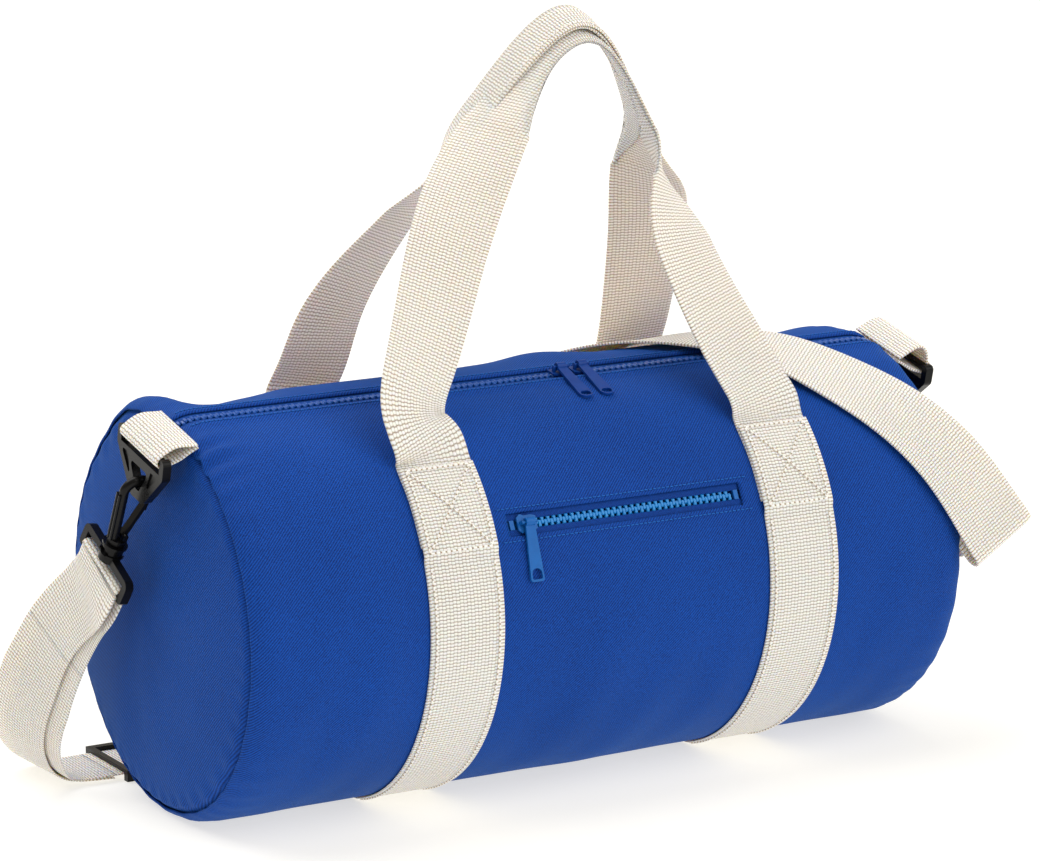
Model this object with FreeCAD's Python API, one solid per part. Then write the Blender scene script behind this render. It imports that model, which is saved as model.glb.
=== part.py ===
"""Barrel bag with webbing handles, two zips and a clip-on shoulder strap.

Millimetres, +Z up. X runs along the barrel with its left end at -X, -Y is the pocket
side, and the origin is on the floor under the part. Angles round the barrel are measured
from its top towards the pocket side.
"""
import FreeCAD, Part
import os
from math import asin, cos, degrees, radians, sin, sqrt

V = FreeCAD.Vector
X_DIR = V(1, 0, 0)

# Body
body_length = 500.0
body_diameter = 252.0
base_flat = 64.0
fabric = 1.2
end_dome = 8.0
end_rim = 17.0
binding_length = 10.0

# Webbing bands and the sewn boxes at their ends
webbing_width = 50.0
webbing = 1.6
sewn_gap = 0.2
band_spacing = 238.0
band_shift = 8.0
box_top = 43.5
box_length = 54.0
joggle = 4.0

# Handles: the grip is the webbing folded in half, the legs open out to its full width
handle_rise = 219.0
handle_nesting = 12.0
grip_shift = 32.0
grip_left_run = 56.0
grip_left_drop = 43.0
grip_right_run = 46.0
grip_right_drop = 66.0
grip_side = 10.0
grip_splay = 16.0
grip_gap = 0.4
grip_turn = 90.0
handle_sections = 44
handle_root = 6.0
root_gap = 1.2
# Stations up each leg: shares of its rise, of its inset and of its lean, and the webbing's twist
leg_stations = ((0.04, 0.0, 0.02, 0.0), (0.24, 0.08, 0.22, 4.0), (0.62, 0.4, 0.6, 24.0))

# Zips, in sizes along and across the chain
main_zip_angle = 10.0
pocket_zip_angle = 63.0
zip_window = 14.0
tape_width = 15.0
tape = 0.8
tooth_pitch = 4.2
tooth_thickness = 2.6
tooth_foot = 2.9
tooth_reach = 1.3
tooth_shoulder = 0.5
tooth_foot_width = 2.2
tooth_neck_width = 1.4
tooth_head_width = 2.2
tooth_tip_width = 1.3
slider_meet = 14.0
slider_apart = 15.0
pocket_left_gap = 14.0
pocket_right_gap = 16.0
stop_size = 3.0

# Sliders and pulls
slider_length = 13.0
slider_plate = 1.3
slider_width = 9.6
slider_flare = 1.0
slider_taper = 2.5
slider_flange = 1.2
slider_play = 0.35
slider_post = 2.4
bridge_rod = 1.8
bridge_height = 3.1
bridge_span = 8.6
bridge_post = 1.8
pull_length = 36.0
pull_width = 9.5
pull_neck = 6.0
pull_thickness = 1.6
pull_eye = 5.0
pull_eye_bore = 2.6
pull_rim = 1.4
pull_tilt = 11.0
# Height of a pull's hole, and the rounds of its end, of the hole's top and of the hole's foot
main_pull_shape = (4.4, 4.3, 2.1, 2.1)
pocket_pull_shape = (6.6, 2.0, 3.2, 1.0)

# Pocket bag behind the pocket zip
pocket_depth = 10.0
pocket_top = 54.0
pocket_bottom = 118.0
pocket_margin = 6.0

# Ring tabs and rings
tab_angle = 13.0
tab_reach = 20.0
tab_drop = 12.0
tab_tilt = 19.0
ring_thickness = 5.4
ring_rod = 5.0
ring_play = 0.3
ring_side = 5.0
ring_slot = 4.5
ring_shoulder = 9.0
ring_hole_top = 13.0
ring_hole_depth = 28.0
ring_hole_width = 24.0
ring_hole_foot = 5.0
ring_hole_round = 5.5
ring_hole_top_round = 2.2
ring_hole_foot_round = 2.5
ring_rim = 6.0
ring_recess = 1.1
ring_border = 3.2

# Snap hooks, measured down from the middle of the hook's bend
hook_rod = 6.0
hook_bore = 11.0
hook_seat = 2.6
hook_lean = 10.0
hook_reach = 34.0
hook_nose = 6.0
hook_flange = 11.0
hook_flange_height = 3.5
gate_width = 5.0
gate_thickness = 2.4
gate_head = 3.4
gate_head_length = 5.0
gate_pin = 1.4
gate_root = 2.6
gate_rise = 3.2
gate_gap = 1.0
ear_thickness = 1.4
ear_width = 3.6
hook_ridge = 2.0
swivel_play = 0.3
stem_rod = 5.4
stem_head = 9.2
stem_head_height = 3.8
collar_diameter = 13.6
collar_wall = 3.4
collar_lip = 1.0
collar_ring = 1.4
loop_bar = 4.5
loop_slot = 6.0
left_clip_tilt = 28.0
left_clip_lean = 9.0
right_clip_tilt = -20.0
right_clip_lean = 10.0

# Shoulder strap
strap_lift = 3.0
strap_slope = 39.0
strap_layer_gap = 1.0
strap_fold = 4.8
strap_joint = 0.6
strap_out = 46.0
drop_sections = 28
run_sections = 72
return_sections = 24
floor_gap = 0.3
# Stations of the hanging strap: shares of its reach out, of its place at the back and of the axis height
drop_stations = ((1.0, 0.66, 0.54), (0.9, 0.9, 0.2))
drop_turns = ((-0.25, 0.95, 0.1), (-0.15, 0.98, 0.0))
lie_turn = (0.0, 1.0, 0.2)
# Stations up the back and over the top: share of the half length, angle, and lift in strap lifts
strap_stations = (
    (-0.46, -128.0, 3.0), (-0.288, -108.0, 2.0), (-0.108, -85.0, 1.0), (0.036, -65.0, 1.0),
    (0.18, -45.0, 1.0), (0.304, -28.0, 1.33), (0.42, -12.0, 2.0), (0.52, 2.0, 2.67),
    (0.612, 15.0, 2.0), (0.732, 31.0, 1.0), (0.844, 47.0, 1.0), (0.972, 66.0, 1.33),
    (1.108, 85.0, 1.67))
adjuster_length = 30.0
adjuster_rail = 5.0
adjuster_bar = 4.0
adjuster_plate = 2.4
adjuster_play = 0.5

# Derived sizes
radius = body_diameter / 2
half_length = body_length / 2
layer = webbing + sewn_gap
axis_z = layer + sqrt(radius ** 2 - (base_flat / 2) ** 2)
band_places = (band_shift - band_spacing / 2, band_shift + band_spacing / 2)
half_web = webbing_width / 2
pocket_zip_left = band_places[0] + half_web + pocket_left_gap
pocket_zip_right = band_places[1] - half_web - pocket_right_gap
box_bottom = box_top + degrees(box_length / radius)
box_end = box_bottom + degrees(joggle / radius)
hinge_angle = box_top - degrees(handle_root / radius)
root_angle = degrees(root_gap / radius)
root_lift = layer + sewn_gap + webbing / 2
tape_top = -(fabric + sewn_gap)
chain_middle = tape_top - tape / 2
chain_top = chain_middle + tooth_thickness / 2
chain_bottom = chain_middle - tooth_thickness / 2
plate_top = chain_top + slider_play + slider_plate
bridge_middle = plate_top + bridge_height
bend_radius = (hook_bore + hook_rod) / 2
wrap_inner = ring_rod / 2 + ring_play
wrap_middle = wrap_inner + webbing / 2
wrap_outer = wrap_inner + webbing
slot_half = half_web + 2 * ring_play
ring_half = slot_half + ring_side
shank_foot = hook_reach + bend_radius * sin(radians(hook_lean))
flange_bottom = shank_foot + hook_flange_height - ring_play
collar_top = flange_bottom + swivel_play
head_top = collar_top + collar_wall + swivel_play
head_bottom = head_top + stem_head_height
window_bottom = head_bottom + swivel_play
loop_bar_depth = window_bottom + loop_bar + loop_slot + ring_rod / 2

os.makedirs("parts", exist_ok=True)


def save(name, shape):
    """Write one node as a STEP file."""
    shape.exportStep("parts/" + name + ".step")


def on_barrel(x, angle, lift=0.0):
    """Point at a place along the barrel, an angle round it and a height off its fabric."""
    reach = radius + lift
    return V(x, -reach * sin(radians(angle)), axis_z + reach * cos(radians(angle)))


def tangent(angle):
    """Direction round the barrel at an angle, towards the back over the top."""
    return V(0, cos(radians(angle)), sin(radians(angle)))


def normal(angle):
    """Direction out of the barrel at an angle."""
    return V(0, -sin(radians(angle)), cos(radians(angle)))


def frame(origin, x_dir, y_dir, z_dir):
    """Matrix that moves a shape from its own axes to three given directions."""
    return FreeCAD.Matrix(
        x_dir.x, y_dir.x, z_dir.x, origin.x,
        x_dir.y, y_dir.y, z_dir.y, origin.y,
        x_dir.z, y_dir.z, z_dir.z, origin.z,
        0, 0, 0, 1)


def box(x0, x1, y0, y1, z0, z1):
    """Block between two corners."""
    return Part.makeBox(x1 - x0, y1 - y0, z1 - z0, V(x0, y0, z0))


def rod(diameter, start, end):
    """Round bar between two points."""
    along = end - start
    return Part.makeCylinder(diameter / 2, along.Length, start, along)


def line(start, end):
    """Straight edge."""
    return Part.LineSegment(start, end).toShape()


def arc(start, middle, end):
    """Round edge through three points."""
    return Part.Arc(start, middle, end).toShape()


def prism(points, along):
    """Solid with straight sides from an outline and a direction."""
    return Part.Face(Part.makePolygon(points + points[:1])).extrude(along)


def sector(inner, outer, start, end, x0, x1):
    """Strip round the barrel between two radii, two angles and two places along it."""
    middle = (start + end) / 2
    edges = [
        arc(on_barrel(x0, start, outer), on_barrel(x0, middle, outer), on_barrel(x0, end, outer)),
        line(on_barrel(x0, end, outer), on_barrel(x0, end, inner)),
        arc(on_barrel(x0, end, inner), on_barrel(x0, middle, inner), on_barrel(x0, start, inner)),
        line(on_barrel(x0, start, inner), on_barrel(x0, start, outer)),
    ]
    return Part.Face(Part.Wire(edges)).extrude(V(x1 - x0, 0, 0))


def barrel(lift, floor, x0, x1):
    """Round bar along X, a height off the fabric's outside, cut flat at a floor height."""
    half = sqrt((radius + lift) ** 2 - (axis_z - floor) ** 2)
    front = V(x0, -half, floor)
    back = V(x0, half, floor)
    outline = Part.Wire([arc(front, on_barrel(x0, 0, lift), back), line(back, front)])
    return Part.Face(outline).extrude(V(x1 - x0, 0, 0))


def ribbon(points, across, widths, thicknesses, offsets, count, trim=0.0):
    """Webbing through points, with its width direction, size and side step given at each."""
    steps = [0.0]
    for before, after in zip(points, points[1:]):
        steps.append(steps[-1] + (after - before).Length)
    curve = Part.BSplineCurve()
    curve.interpolate(Points=points, Parameters=steps)
    sections = []
    for index in range(count + 1):
        at = trim + (steps[-1] - trim) * index / count
        piece = max(i for i in range(len(steps) - 1) if steps[i] <= at)
        share = (at - steps[piece]) / (steps[piece + 1] - steps[piece])

        def between(values):
            return values[piece] * (1 - share) + values[piece + 1] * share

        along = curve.getD1(at)[1].normalize()
        hint = between(across)
        side = (hint - along * hint.dot(along)).normalize()
        face = along.cross(side)
        centre = curve.value(at) + face * between(offsets)
        half_side = side * (between(widths) / 2)
        half_face = face * (between(thicknesses) / 2)
        corners = [centre - half_side - half_face, centre + half_side - half_face,
                   centre + half_side + half_face, centre - half_side + half_face]
        sections.append(Part.makePolygon(corners + corners[:1]))
    return Part.makeLoft(sections, True, True)


def zip_frame(angle):
    """Axes of a zip: x along the chain, y towards the back, z out of the fabric."""
    return frame(on_barrel(0, angle), X_DIR, tangent(angle), normal(angle))


def zip_cut(x0, x1, half_width):
    """Block that cuts the fabric open over a zip, in the zip's axes."""
    return box(x0, x1, -half_width, half_width, -fabric * 4, fabric * 2)


def make_body():
    """Body wrap, domed end panels and the bindings that bound the end seams inside."""
    wrap_half = half_length - fabric
    wrap = barrel(0, layer, -wrap_half, wrap_half)
    wrap = wrap.cut(barrel(-fabric, layer + fabric, -half_length, half_length))
    window = zip_window / 2
    wrap = wrap.cut(zip_cut(-half_length, half_length, window).transformed(zip_frame(main_zip_angle)))
    pocket_cut = zip_cut(pocket_zip_left - stop_size, pocket_zip_right + stop_size, window)
    save("barrel_wrap", wrap.cut(pocket_cut.transformed(zip_frame(pocket_zip_angle))))

    dome_edge = radius - end_rim
    sphere = (dome_edge ** 2 + end_dome ** 2) / (2 * end_dome)
    half_sag = end_dome - sphere + sqrt(sphere ** 2 - (dome_edge / 2) ** 2)
    for name, out in (("left", -1), ("right", 1)):
        def skin(depth, reach, rise):
            return V(out * (half_length - depth + rise), 0, axis_z + reach)

        inner_middle = skin(fabric, dome_edge / 2, half_sag)
        outline = Part.Wire([
            line(skin(0, radius, 0), skin(0, dome_edge, 0)),
            arc(skin(0, dome_edge, 0), skin(0, dome_edge / 2, half_sag), skin(0, 0, end_dome)),
            line(skin(0, 0, end_dome), skin(fabric, 0, end_dome)),
            arc(skin(fabric, 0, end_dome), inner_middle, skin(fabric, dome_edge, 0)),
            line(skin(fabric, dome_edge, 0), skin(fabric, radius, 0)),
            line(skin(fabric, radius, 0), skin(0, radius, 0)),
        ])
        panel = Part.Face(outline).revolve(V(0, 0, axis_z), X_DIR, 360)
        reach = half_length + 2 * end_dome
        save(name + "_end_panel", panel.common(barrel(fabric, layer, -reach, reach)))

        seam = out * (half_length - fabric - sewn_gap)
        ends = sorted((seam, seam - out * binding_length))
        lip = fabric + sewn_gap
        binding = barrel(-lip, layer + lip, *ends)
        binding = binding.cut(barrel(-lip - fabric, layer + lip + fabric, *ends))
        gap = zip_cut(*ends, tape_width + tooth_foot)
        save(name + "_seam_binding", binding.cut(gap.transformed(zip_frame(main_zip_angle))))


def make_tape(name, angle, side, x0, x1):
    """One zip tape under the fabric's edge; side is 1 towards the back, -1 the front."""
    reach = radius + tape_top
    edge = angle - side * degrees(asin((tooth_foot + sewn_gap / 4) / reach))
    far = angle - side * degrees(asin((tooth_foot + tape_width) / reach))
    save(name, sector(tape_top - tape, tape_top, min(edge, far), max(edge, far), x0, x1))


def make_teeth(name, angle, side, places):
    """One row of moulded teeth whose heads lock between the necks of the other row."""
    widths = (tooth_foot_width, tooth_neck_width, tooth_head_width, tooth_tip_width)
    depths = (tooth_foot, tooth_reach, -tooth_shoulder, -tooth_reach)
    teeth = []
    for place in places:
        right = [V(place + width / 2, side * depth, chain_bottom) for width, depth in zip(widths, depths)]
        left = [V(place - width / 2, side * depth, chain_bottom) for width, depth in zip(widths, depths)]
        teeth.append(prism(right + left[::-1], V(0, 0, tooth_thickness)))
    save(name, Part.makeCompound(teeth).transformed(zip_frame(angle)))


def tooth_places(x0, x1, offset):
    """Places of the teeth of one row between two ends."""
    count = int((x1 - x0 - tooth_head_width - offset) / tooth_pitch) + 1
    return [x0 + tooth_head_width / 2 + offset + tooth_pitch * index for index in range(count)]


def slider_body(mouth):
    """Zip slider with its channel, diamond post and bridge; mouth is its open end, 1 or -1."""
    half = slider_length / 2
    half_width = slider_width / 2
    wide = half_width + slider_flare
    narrow = half_width - slider_flare
    side = [(-half, narrow), (-half + slider_taper, half_width), (half - 2 * slider_taper, half_width),
            (half - slider_taper, wide), (half, narrow)]
    outline = [V(mouth * x, y, 0) for x, y in side] + [V(mouth * x, -y, 0) for x, y in side[::-1]]
    upper = prism(outline, V(0, 0, slider_plate))
    upper.translate(V(0, 0, plate_top - slider_plate))
    lower = prism(outline, V(0, 0, slider_plate))
    lower.translate(V(0, 0, chain_bottom - slider_play - slider_plate))
    body = upper.fuse(lower)
    ends = sorted((-mouth * half, mouth * (half - 2 * slider_taper)))
    ends = (ends[0] + slider_taper, ends[1] - slider_taper / 2) if mouth > 0 else (
        ends[0] + slider_taper / 2, ends[1] - slider_taper)
    for edge in sorted((-half_width, half_width - slider_flange)):
        strip = (ends[0], ends[1], edge, edge + slider_flange)
        body = body.fuse(box(*strip, tape_top + slider_play, plate_top - slider_plate))
        body = body.fuse(box(*strip, chain_bottom - slider_play, tape_top - tape - slider_play))
    post = sorted((mouth * (half - slider_taper), mouth * (half - 2 * slider_taper)))
    post_bottom = chain_bottom - slider_play
    body = body.fuse(box(*post, -slider_post / 2, slider_post / 2, post_bottom, plate_top - slider_plate))
    for end in (-1, 1):
        leg = end * bridge_span / 2
        block = box(leg - bridge_post / 2, leg + bridge_post / 2, -bridge_rod / 2, bridge_rod / 2,
                    plate_top - slider_plate / 2, bridge_middle)
        body = body.fuse(block)
    tip = (bridge_span + bridge_post) / 2
    return body.fuse(rod(bridge_rod, V(-tip, 0, bridge_middle), V(tip, 0, bridge_middle)))


def pull_tab(shape):
    """Zip pull with a round eye for the bridge, hanging towards the front, and a hole at its end."""
    hole_height, end_round, hole_top, hole_foot = shape
    half = pull_width / 2
    neck = pull_neck / 2
    outline = [V(-neck, 0, 0), V(neck, 0, 0), V(half, 0, pull_length), V(-half, 0, pull_length)]
    tab = plate(rounded(outline, [pull_thickness / 2] * 2 + [end_round] * 2), pull_thickness)
    wall = half - pull_rim
    foot = pull_length - pull_rim
    top = foot - hole_height
    hole = [V(-wall, 0, top), V(wall, 0, top), V(wall, 0, foot), V(-wall, 0, foot)]
    tab = tab.cut(plate(rounded(hole, [hole_top] * 2 + [hole_foot] * 2), 2 * pull_thickness))
    tab.rotate(V(0, 0, 0), X_DIR, 90)
    eye = rod(pull_eye, V(-neck, 0, 0), V(neck, 0, 0))
    bore = rod(pull_eye_bore, V(-pull_neck, 0, 0), V(pull_neck, 0, 0))
    return tab.fuse(eye).cut(bore)


def make_slider(name, angle, place, mouth, pull_shape):
    """Slider and its pull at a place on a zip; the pull hangs down the front."""
    axes = zip_frame(angle)
    body = slider_body(mouth)
    body.translate(V(place, 0, 0))
    save(name + "_slider", body.transformed(axes))
    pull = pull_tab(pull_shape)
    pull.rotate(V(0, 0, 0), X_DIR, pull_tilt)
    pull.translate(V(place, 0, bridge_middle))
    save(name + "_pull", pull.transformed(axes))


def make_zips():
    """Main zip along the top with two sliders, and the pocket zip with one."""
    end = half_length - fabric - sewn_gap
    left_place = band_shift + slider_meet - slider_apart / 2
    right_place = band_shift + slider_meet + slider_apart / 2
    pocket_place = pocket_zip_left + stop_size + slider_length / 2
    sides = (("front", "lower", -1, 0.0), ("back", "upper", 1, tooth_pitch / 2))
    for main_side, pocket_side, side, offset in sides:
        make_tape("main_zip_tape_" + main_side, main_zip_angle, side, -end, end)
        closed = tooth_places(-end, left_place, offset) + tooth_places(right_place, end, offset)
        make_teeth("main_zip_teeth_" + main_side, main_zip_angle, side, closed)
        make_tape("pocket_zip_tape_" + pocket_side, pocket_zip_angle, side,
                  pocket_zip_left - 2 * stop_size, pocket_zip_right + 2 * stop_size)
        closed = tooth_places(pocket_place, pocket_zip_right - stop_size, offset)
        make_teeth("pocket_zip_teeth_" + pocket_side, pocket_zip_angle, side, closed)
    make_slider("main_zip_left", main_zip_angle, left_place, 1, main_pull_shape)
    make_slider("main_zip_right", main_zip_angle, right_place, -1, main_pull_shape)
    make_slider("pocket_zip", pocket_zip_angle, pocket_place, -1, pocket_pull_shape)
    stops = [box(x0, x0 + stop_size, -tooth_foot, tooth_foot, chain_bottom, chain_top)
             for x0 in (pocket_zip_left - stop_size / 2, pocket_zip_right - stop_size / 2)]
    save("pocket_zip_stops", Part.makeCompound(stops).transformed(zip_frame(pocket_zip_angle)))


def make_pocket():
    """Flat pocket bag sewn to the inside of the wrap behind the pocket zip."""
    inner_skin = -fabric - sewn_gap
    x0 = pocket_zip_left - 2 * stop_size - pocket_margin
    x1 = pocket_zip_right + 2 * stop_size + pocket_margin
    lip = degrees(fabric / radius)
    back = inner_skin - pocket_depth
    tray = sector(back - fabric, inner_skin, pocket_top, pocket_bottom, x0, x1)
    hollow = sector(back, 0, pocket_top + lip, pocket_bottom - lip, x0 + fabric, x1 - fabric)
    save("pocket_bag", tray.cut(hollow))


def make_bands():
    """Two bands round the underside, each lapped over the sewn ends of both handles."""
    far = 2 * radius
    for name, middle in zip(("left", "right"), band_places):
        x0 = middle - half_web
        x1 = middle + half_web
        loop = barrel(layer, 0, x0, x1).cut(barrel(sewn_gap, webbing, x0, x1))
        start = box_bottom + root_angle
        top = [V(x0, 0, axis_z), on_barrel(x0, start, far), V(x0, -2 * far, axis_z + 2 * far),
               V(x0, 2 * far, axis_z + 2 * far), on_barrel(x0, -start, far)]
        band = loop.cut(prism(top, V(webbing_width, 0, 0)))
        for side in (-1, 1):
            lap = sorted((side * box_top, side * box_end))
            step = sorted((side * start, side * box_end))
            band = band.fuse(sector(layer + sewn_gap, 2 * layer, *lap, x0, x1))
            band = band.fuse(sector(sewn_gap, 2 * layer, *step, x0, x1))
        save(name + "_band", band.removeSplitter())
    for name, side in (("front", 1), ("back", -1)):
        ends = sorted((side * (hinge_angle + root_angle), side * box_bottom))
        strips = [sector(sewn_gap, layer, *ends, middle - half_web, middle + half_web)
                  for middle in band_places]
        save(name + "_handle_ends", Part.makeCompound(strips))


def make_handle(name, side, top_z):
    """Webbing handle from one sewn box to the other; side is -1 at the front, 1 at the back."""
    grip = V(band_shift + grip_shift, side * grip_side, top_z)
    splay = V(0, side * grip_splay, 0)
    grip_ends = (grip + splay + V(-grip_left_run, 0, -grip_left_drop),
                 grip + splay + V(grip_right_run, 0, -grip_right_drop))
    legs = []
    for place, grip_end in zip(band_places, grip_ends):
        foot = on_barrel(place, -side * hinge_angle, root_lift)
        rise = grip_end - foot
        legs.append([foot] + [foot + V(rise.x * inset, rise.y * lean, rise.z * height)
                              for height, inset, lean, _ in leg_stations] + [grip_end])
    points = legs[0] + [grip] + legs[1][::-1]
    leg_turns = [0.0] + [turn for _, _, _, turn in leg_stations] + [grip_turn]
    turns = leg_turns + [grip_turn] + [2 * grip_turn - turn for turn in leg_turns[::-1]]
    across = [V(cos(radians(turn)), side * sin(radians(turn)), 0) for turn in turns]
    widths = [half_web if turn == grip_turn else webbing_width for turn in turns]
    thicknesses = [2 * webbing + grip_gap if turn == grip_turn else webbing for turn in turns]
    save(name + "_handle", ribbon(points, across, widths, thicknesses, [0.0] * len(points), handle_sections))


def ring_axes(out):
    """Axes of a ring at its bar: x along the bar, y out of the bag's end, z up."""
    bar = on_barrel(out * (half_length + tab_reach), tab_angle, -tab_drop)
    return bar, tangent(tab_angle) * -out, X_DIR * out, normal(tab_angle)


def clip_axes(out, tilt, lean):
    """Axes of a snap hook at the middle of its bend, seated in the ring's hole."""
    bar, _, _, ring_up = ring_axes(out)
    up = normal(tilt) * cos(radians(lean)) - X_DIR * (out * sin(radians(lean)))
    outward = X_DIR * (out * cos(radians(lean))) + normal(tilt) * sin(radians(lean))
    hang = bar - ring_up * (ring_hole_depth - bend_radius + hook_seat)
    return hang - up * bend_radius, outward.cross(up), outward, up


def make_tab(name, out):
    """Webbing folded round a ring's bar, with both ends sewn into the end seam."""
    back = V(0, -cos(radians(tab_tilt)), sin(radians(tab_tilt)))
    upward = V(0, sin(radians(tab_tilt)), cos(radians(tab_tilt)))
    far = back * (2 * tab_reach)
    start = V(-half_web, 0, 0)

    def at(reach, run):
        return start + upward * reach + far * run

    edges = [
        line(at(wrap_outer, 1), at(wrap_outer, 0)),
        arc(at(wrap_outer, 0), start - back * wrap_outer, at(-wrap_outer, 0)),
        line(at(-wrap_outer, 0), at(-wrap_outer, 1)),
        line(at(-wrap_outer, 1), at(-wrap_inner, 1)),
        line(at(-wrap_inner, 1), at(-wrap_inner, 0)),
        arc(at(-wrap_inner, 0), start - back * wrap_inner, at(wrap_inner, 0)),
        line(at(wrap_inner, 0), at(wrap_inner, 1)),
        line(at(wrap_inner, 1), at(wrap_outer, 1)),
    ]
    fold = Part.Face(Part.Wire(edges)).extrude(V(webbing_width, 0, 0))
    bag = 4 * tab_reach
    inside = box(-webbing_width, webbing_width, -bag, sewn_gap - tab_reach, -bag, bag)
    save(name + "_ring_tab", fold.cut(inside).transformed(frame(*ring_axes(out))))


def rounded(points, rounds):
    """Closed wire through corners in the XZ plane, each corner rounded to its own radius."""
    edges = []
    previous = None
    count = len(points)
    for index, (corner, turn) in enumerate(zip(points, rounds)):
        before = (points[index - 1] - corner).normalize()
        after = (points[(index + 1) % count] - corner).normalize()
        half = before.getAngle(after) / 2
        bisector = (before + after).normalize()
        start = corner + before * (turn / (sin(half) / cos(half)))
        end = corner + after * (turn / (sin(half) / cos(half)))
        middle = corner + bisector * (turn / sin(half) - turn)
        if previous is not None:
            edges.append(line(previous, start))
        else:
            first = start
        edges.append(arc(start, middle, end))
        previous = end
    edges.append(line(previous, first))
    return Part.Wire(edges)


def plate(wire, thickness):
    """Flat piece of a thickness on both sides of the XZ plane."""
    piece = Part.Face(wire).extrude(V(0, thickness, 0))
    piece.translate(V(0, -thickness / 2, 0))
    return piece


def make_ring(name, out):
    """Triangular ring with a webbing slot under its bar, a recessed web and a hole for the hook."""
    top = ring_thickness / 2
    web_top = -ring_rod / 2 - ring_slot
    apex = -(ring_hole_depth + ring_rim)
    apex_half = ring_hole_round + ring_rim / 2
    corners = [V(-ring_half, 0, top), V(ring_half, 0, top), V(ring_half, 0, -ring_shoulder),
               V(apex_half, 0, apex), V(-apex_half, 0, apex), V(-ring_half, 0, -ring_shoulder)]
    rounds = [top, top, ring_side, ring_rim, ring_rim, ring_side]
    ring = plate(rounded(corners, rounds), ring_thickness)
    hole_half = ring_hole_width / 2
    hole = [V(-hole_half, 0, -ring_hole_top), V(hole_half, 0, -ring_hole_top),
            V(ring_hole_foot / 2, 0, -ring_hole_depth), V(-ring_hole_foot / 2, 0, -ring_hole_depth)]
    hole_rounds = [ring_hole_top_round] * 2 + [ring_hole_foot_round] * 2
    ring = ring.cut(plate(rounded(hole, hole_rounds), 2 * ring_thickness))
    web = [V(hole_half + ring_border, 0, web_top - ring_border),
           V(slot_half - ring_border, 0, web_top - ring_border),
           V(slot_half - ring_border, 0, -ring_shoulder - ring_border),
           V(apex_half + ring_border / 2, 0, -ring_hole_depth + ring_border)]
    for mirror in (1, -1):
        corners = [V(mirror * corner.x, 0, corner.z) for corner in web]
        recess = plate(rounded(corners, [ring_recess] * len(corners)), 2 * ring_thickness)
        floor = ring_thickness / 2 - ring_recess
        recess = recess.cut(box(-ring_half, ring_half, -floor, floor, apex, top))
        ring = ring.cut(recess)
    ring = ring.cut(box(-slot_half, slot_half, -ring_thickness, ring_thickness, web_top, 2 * top))
    bar = rod(ring_rod, V(-slot_half - ring_side / 2, 0, 0), V(slot_half + ring_side / 2, 0, 0))
    save(name + "_d_ring", ring.fuse(bar).transformed(frame(*ring_axes(out))))


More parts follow.
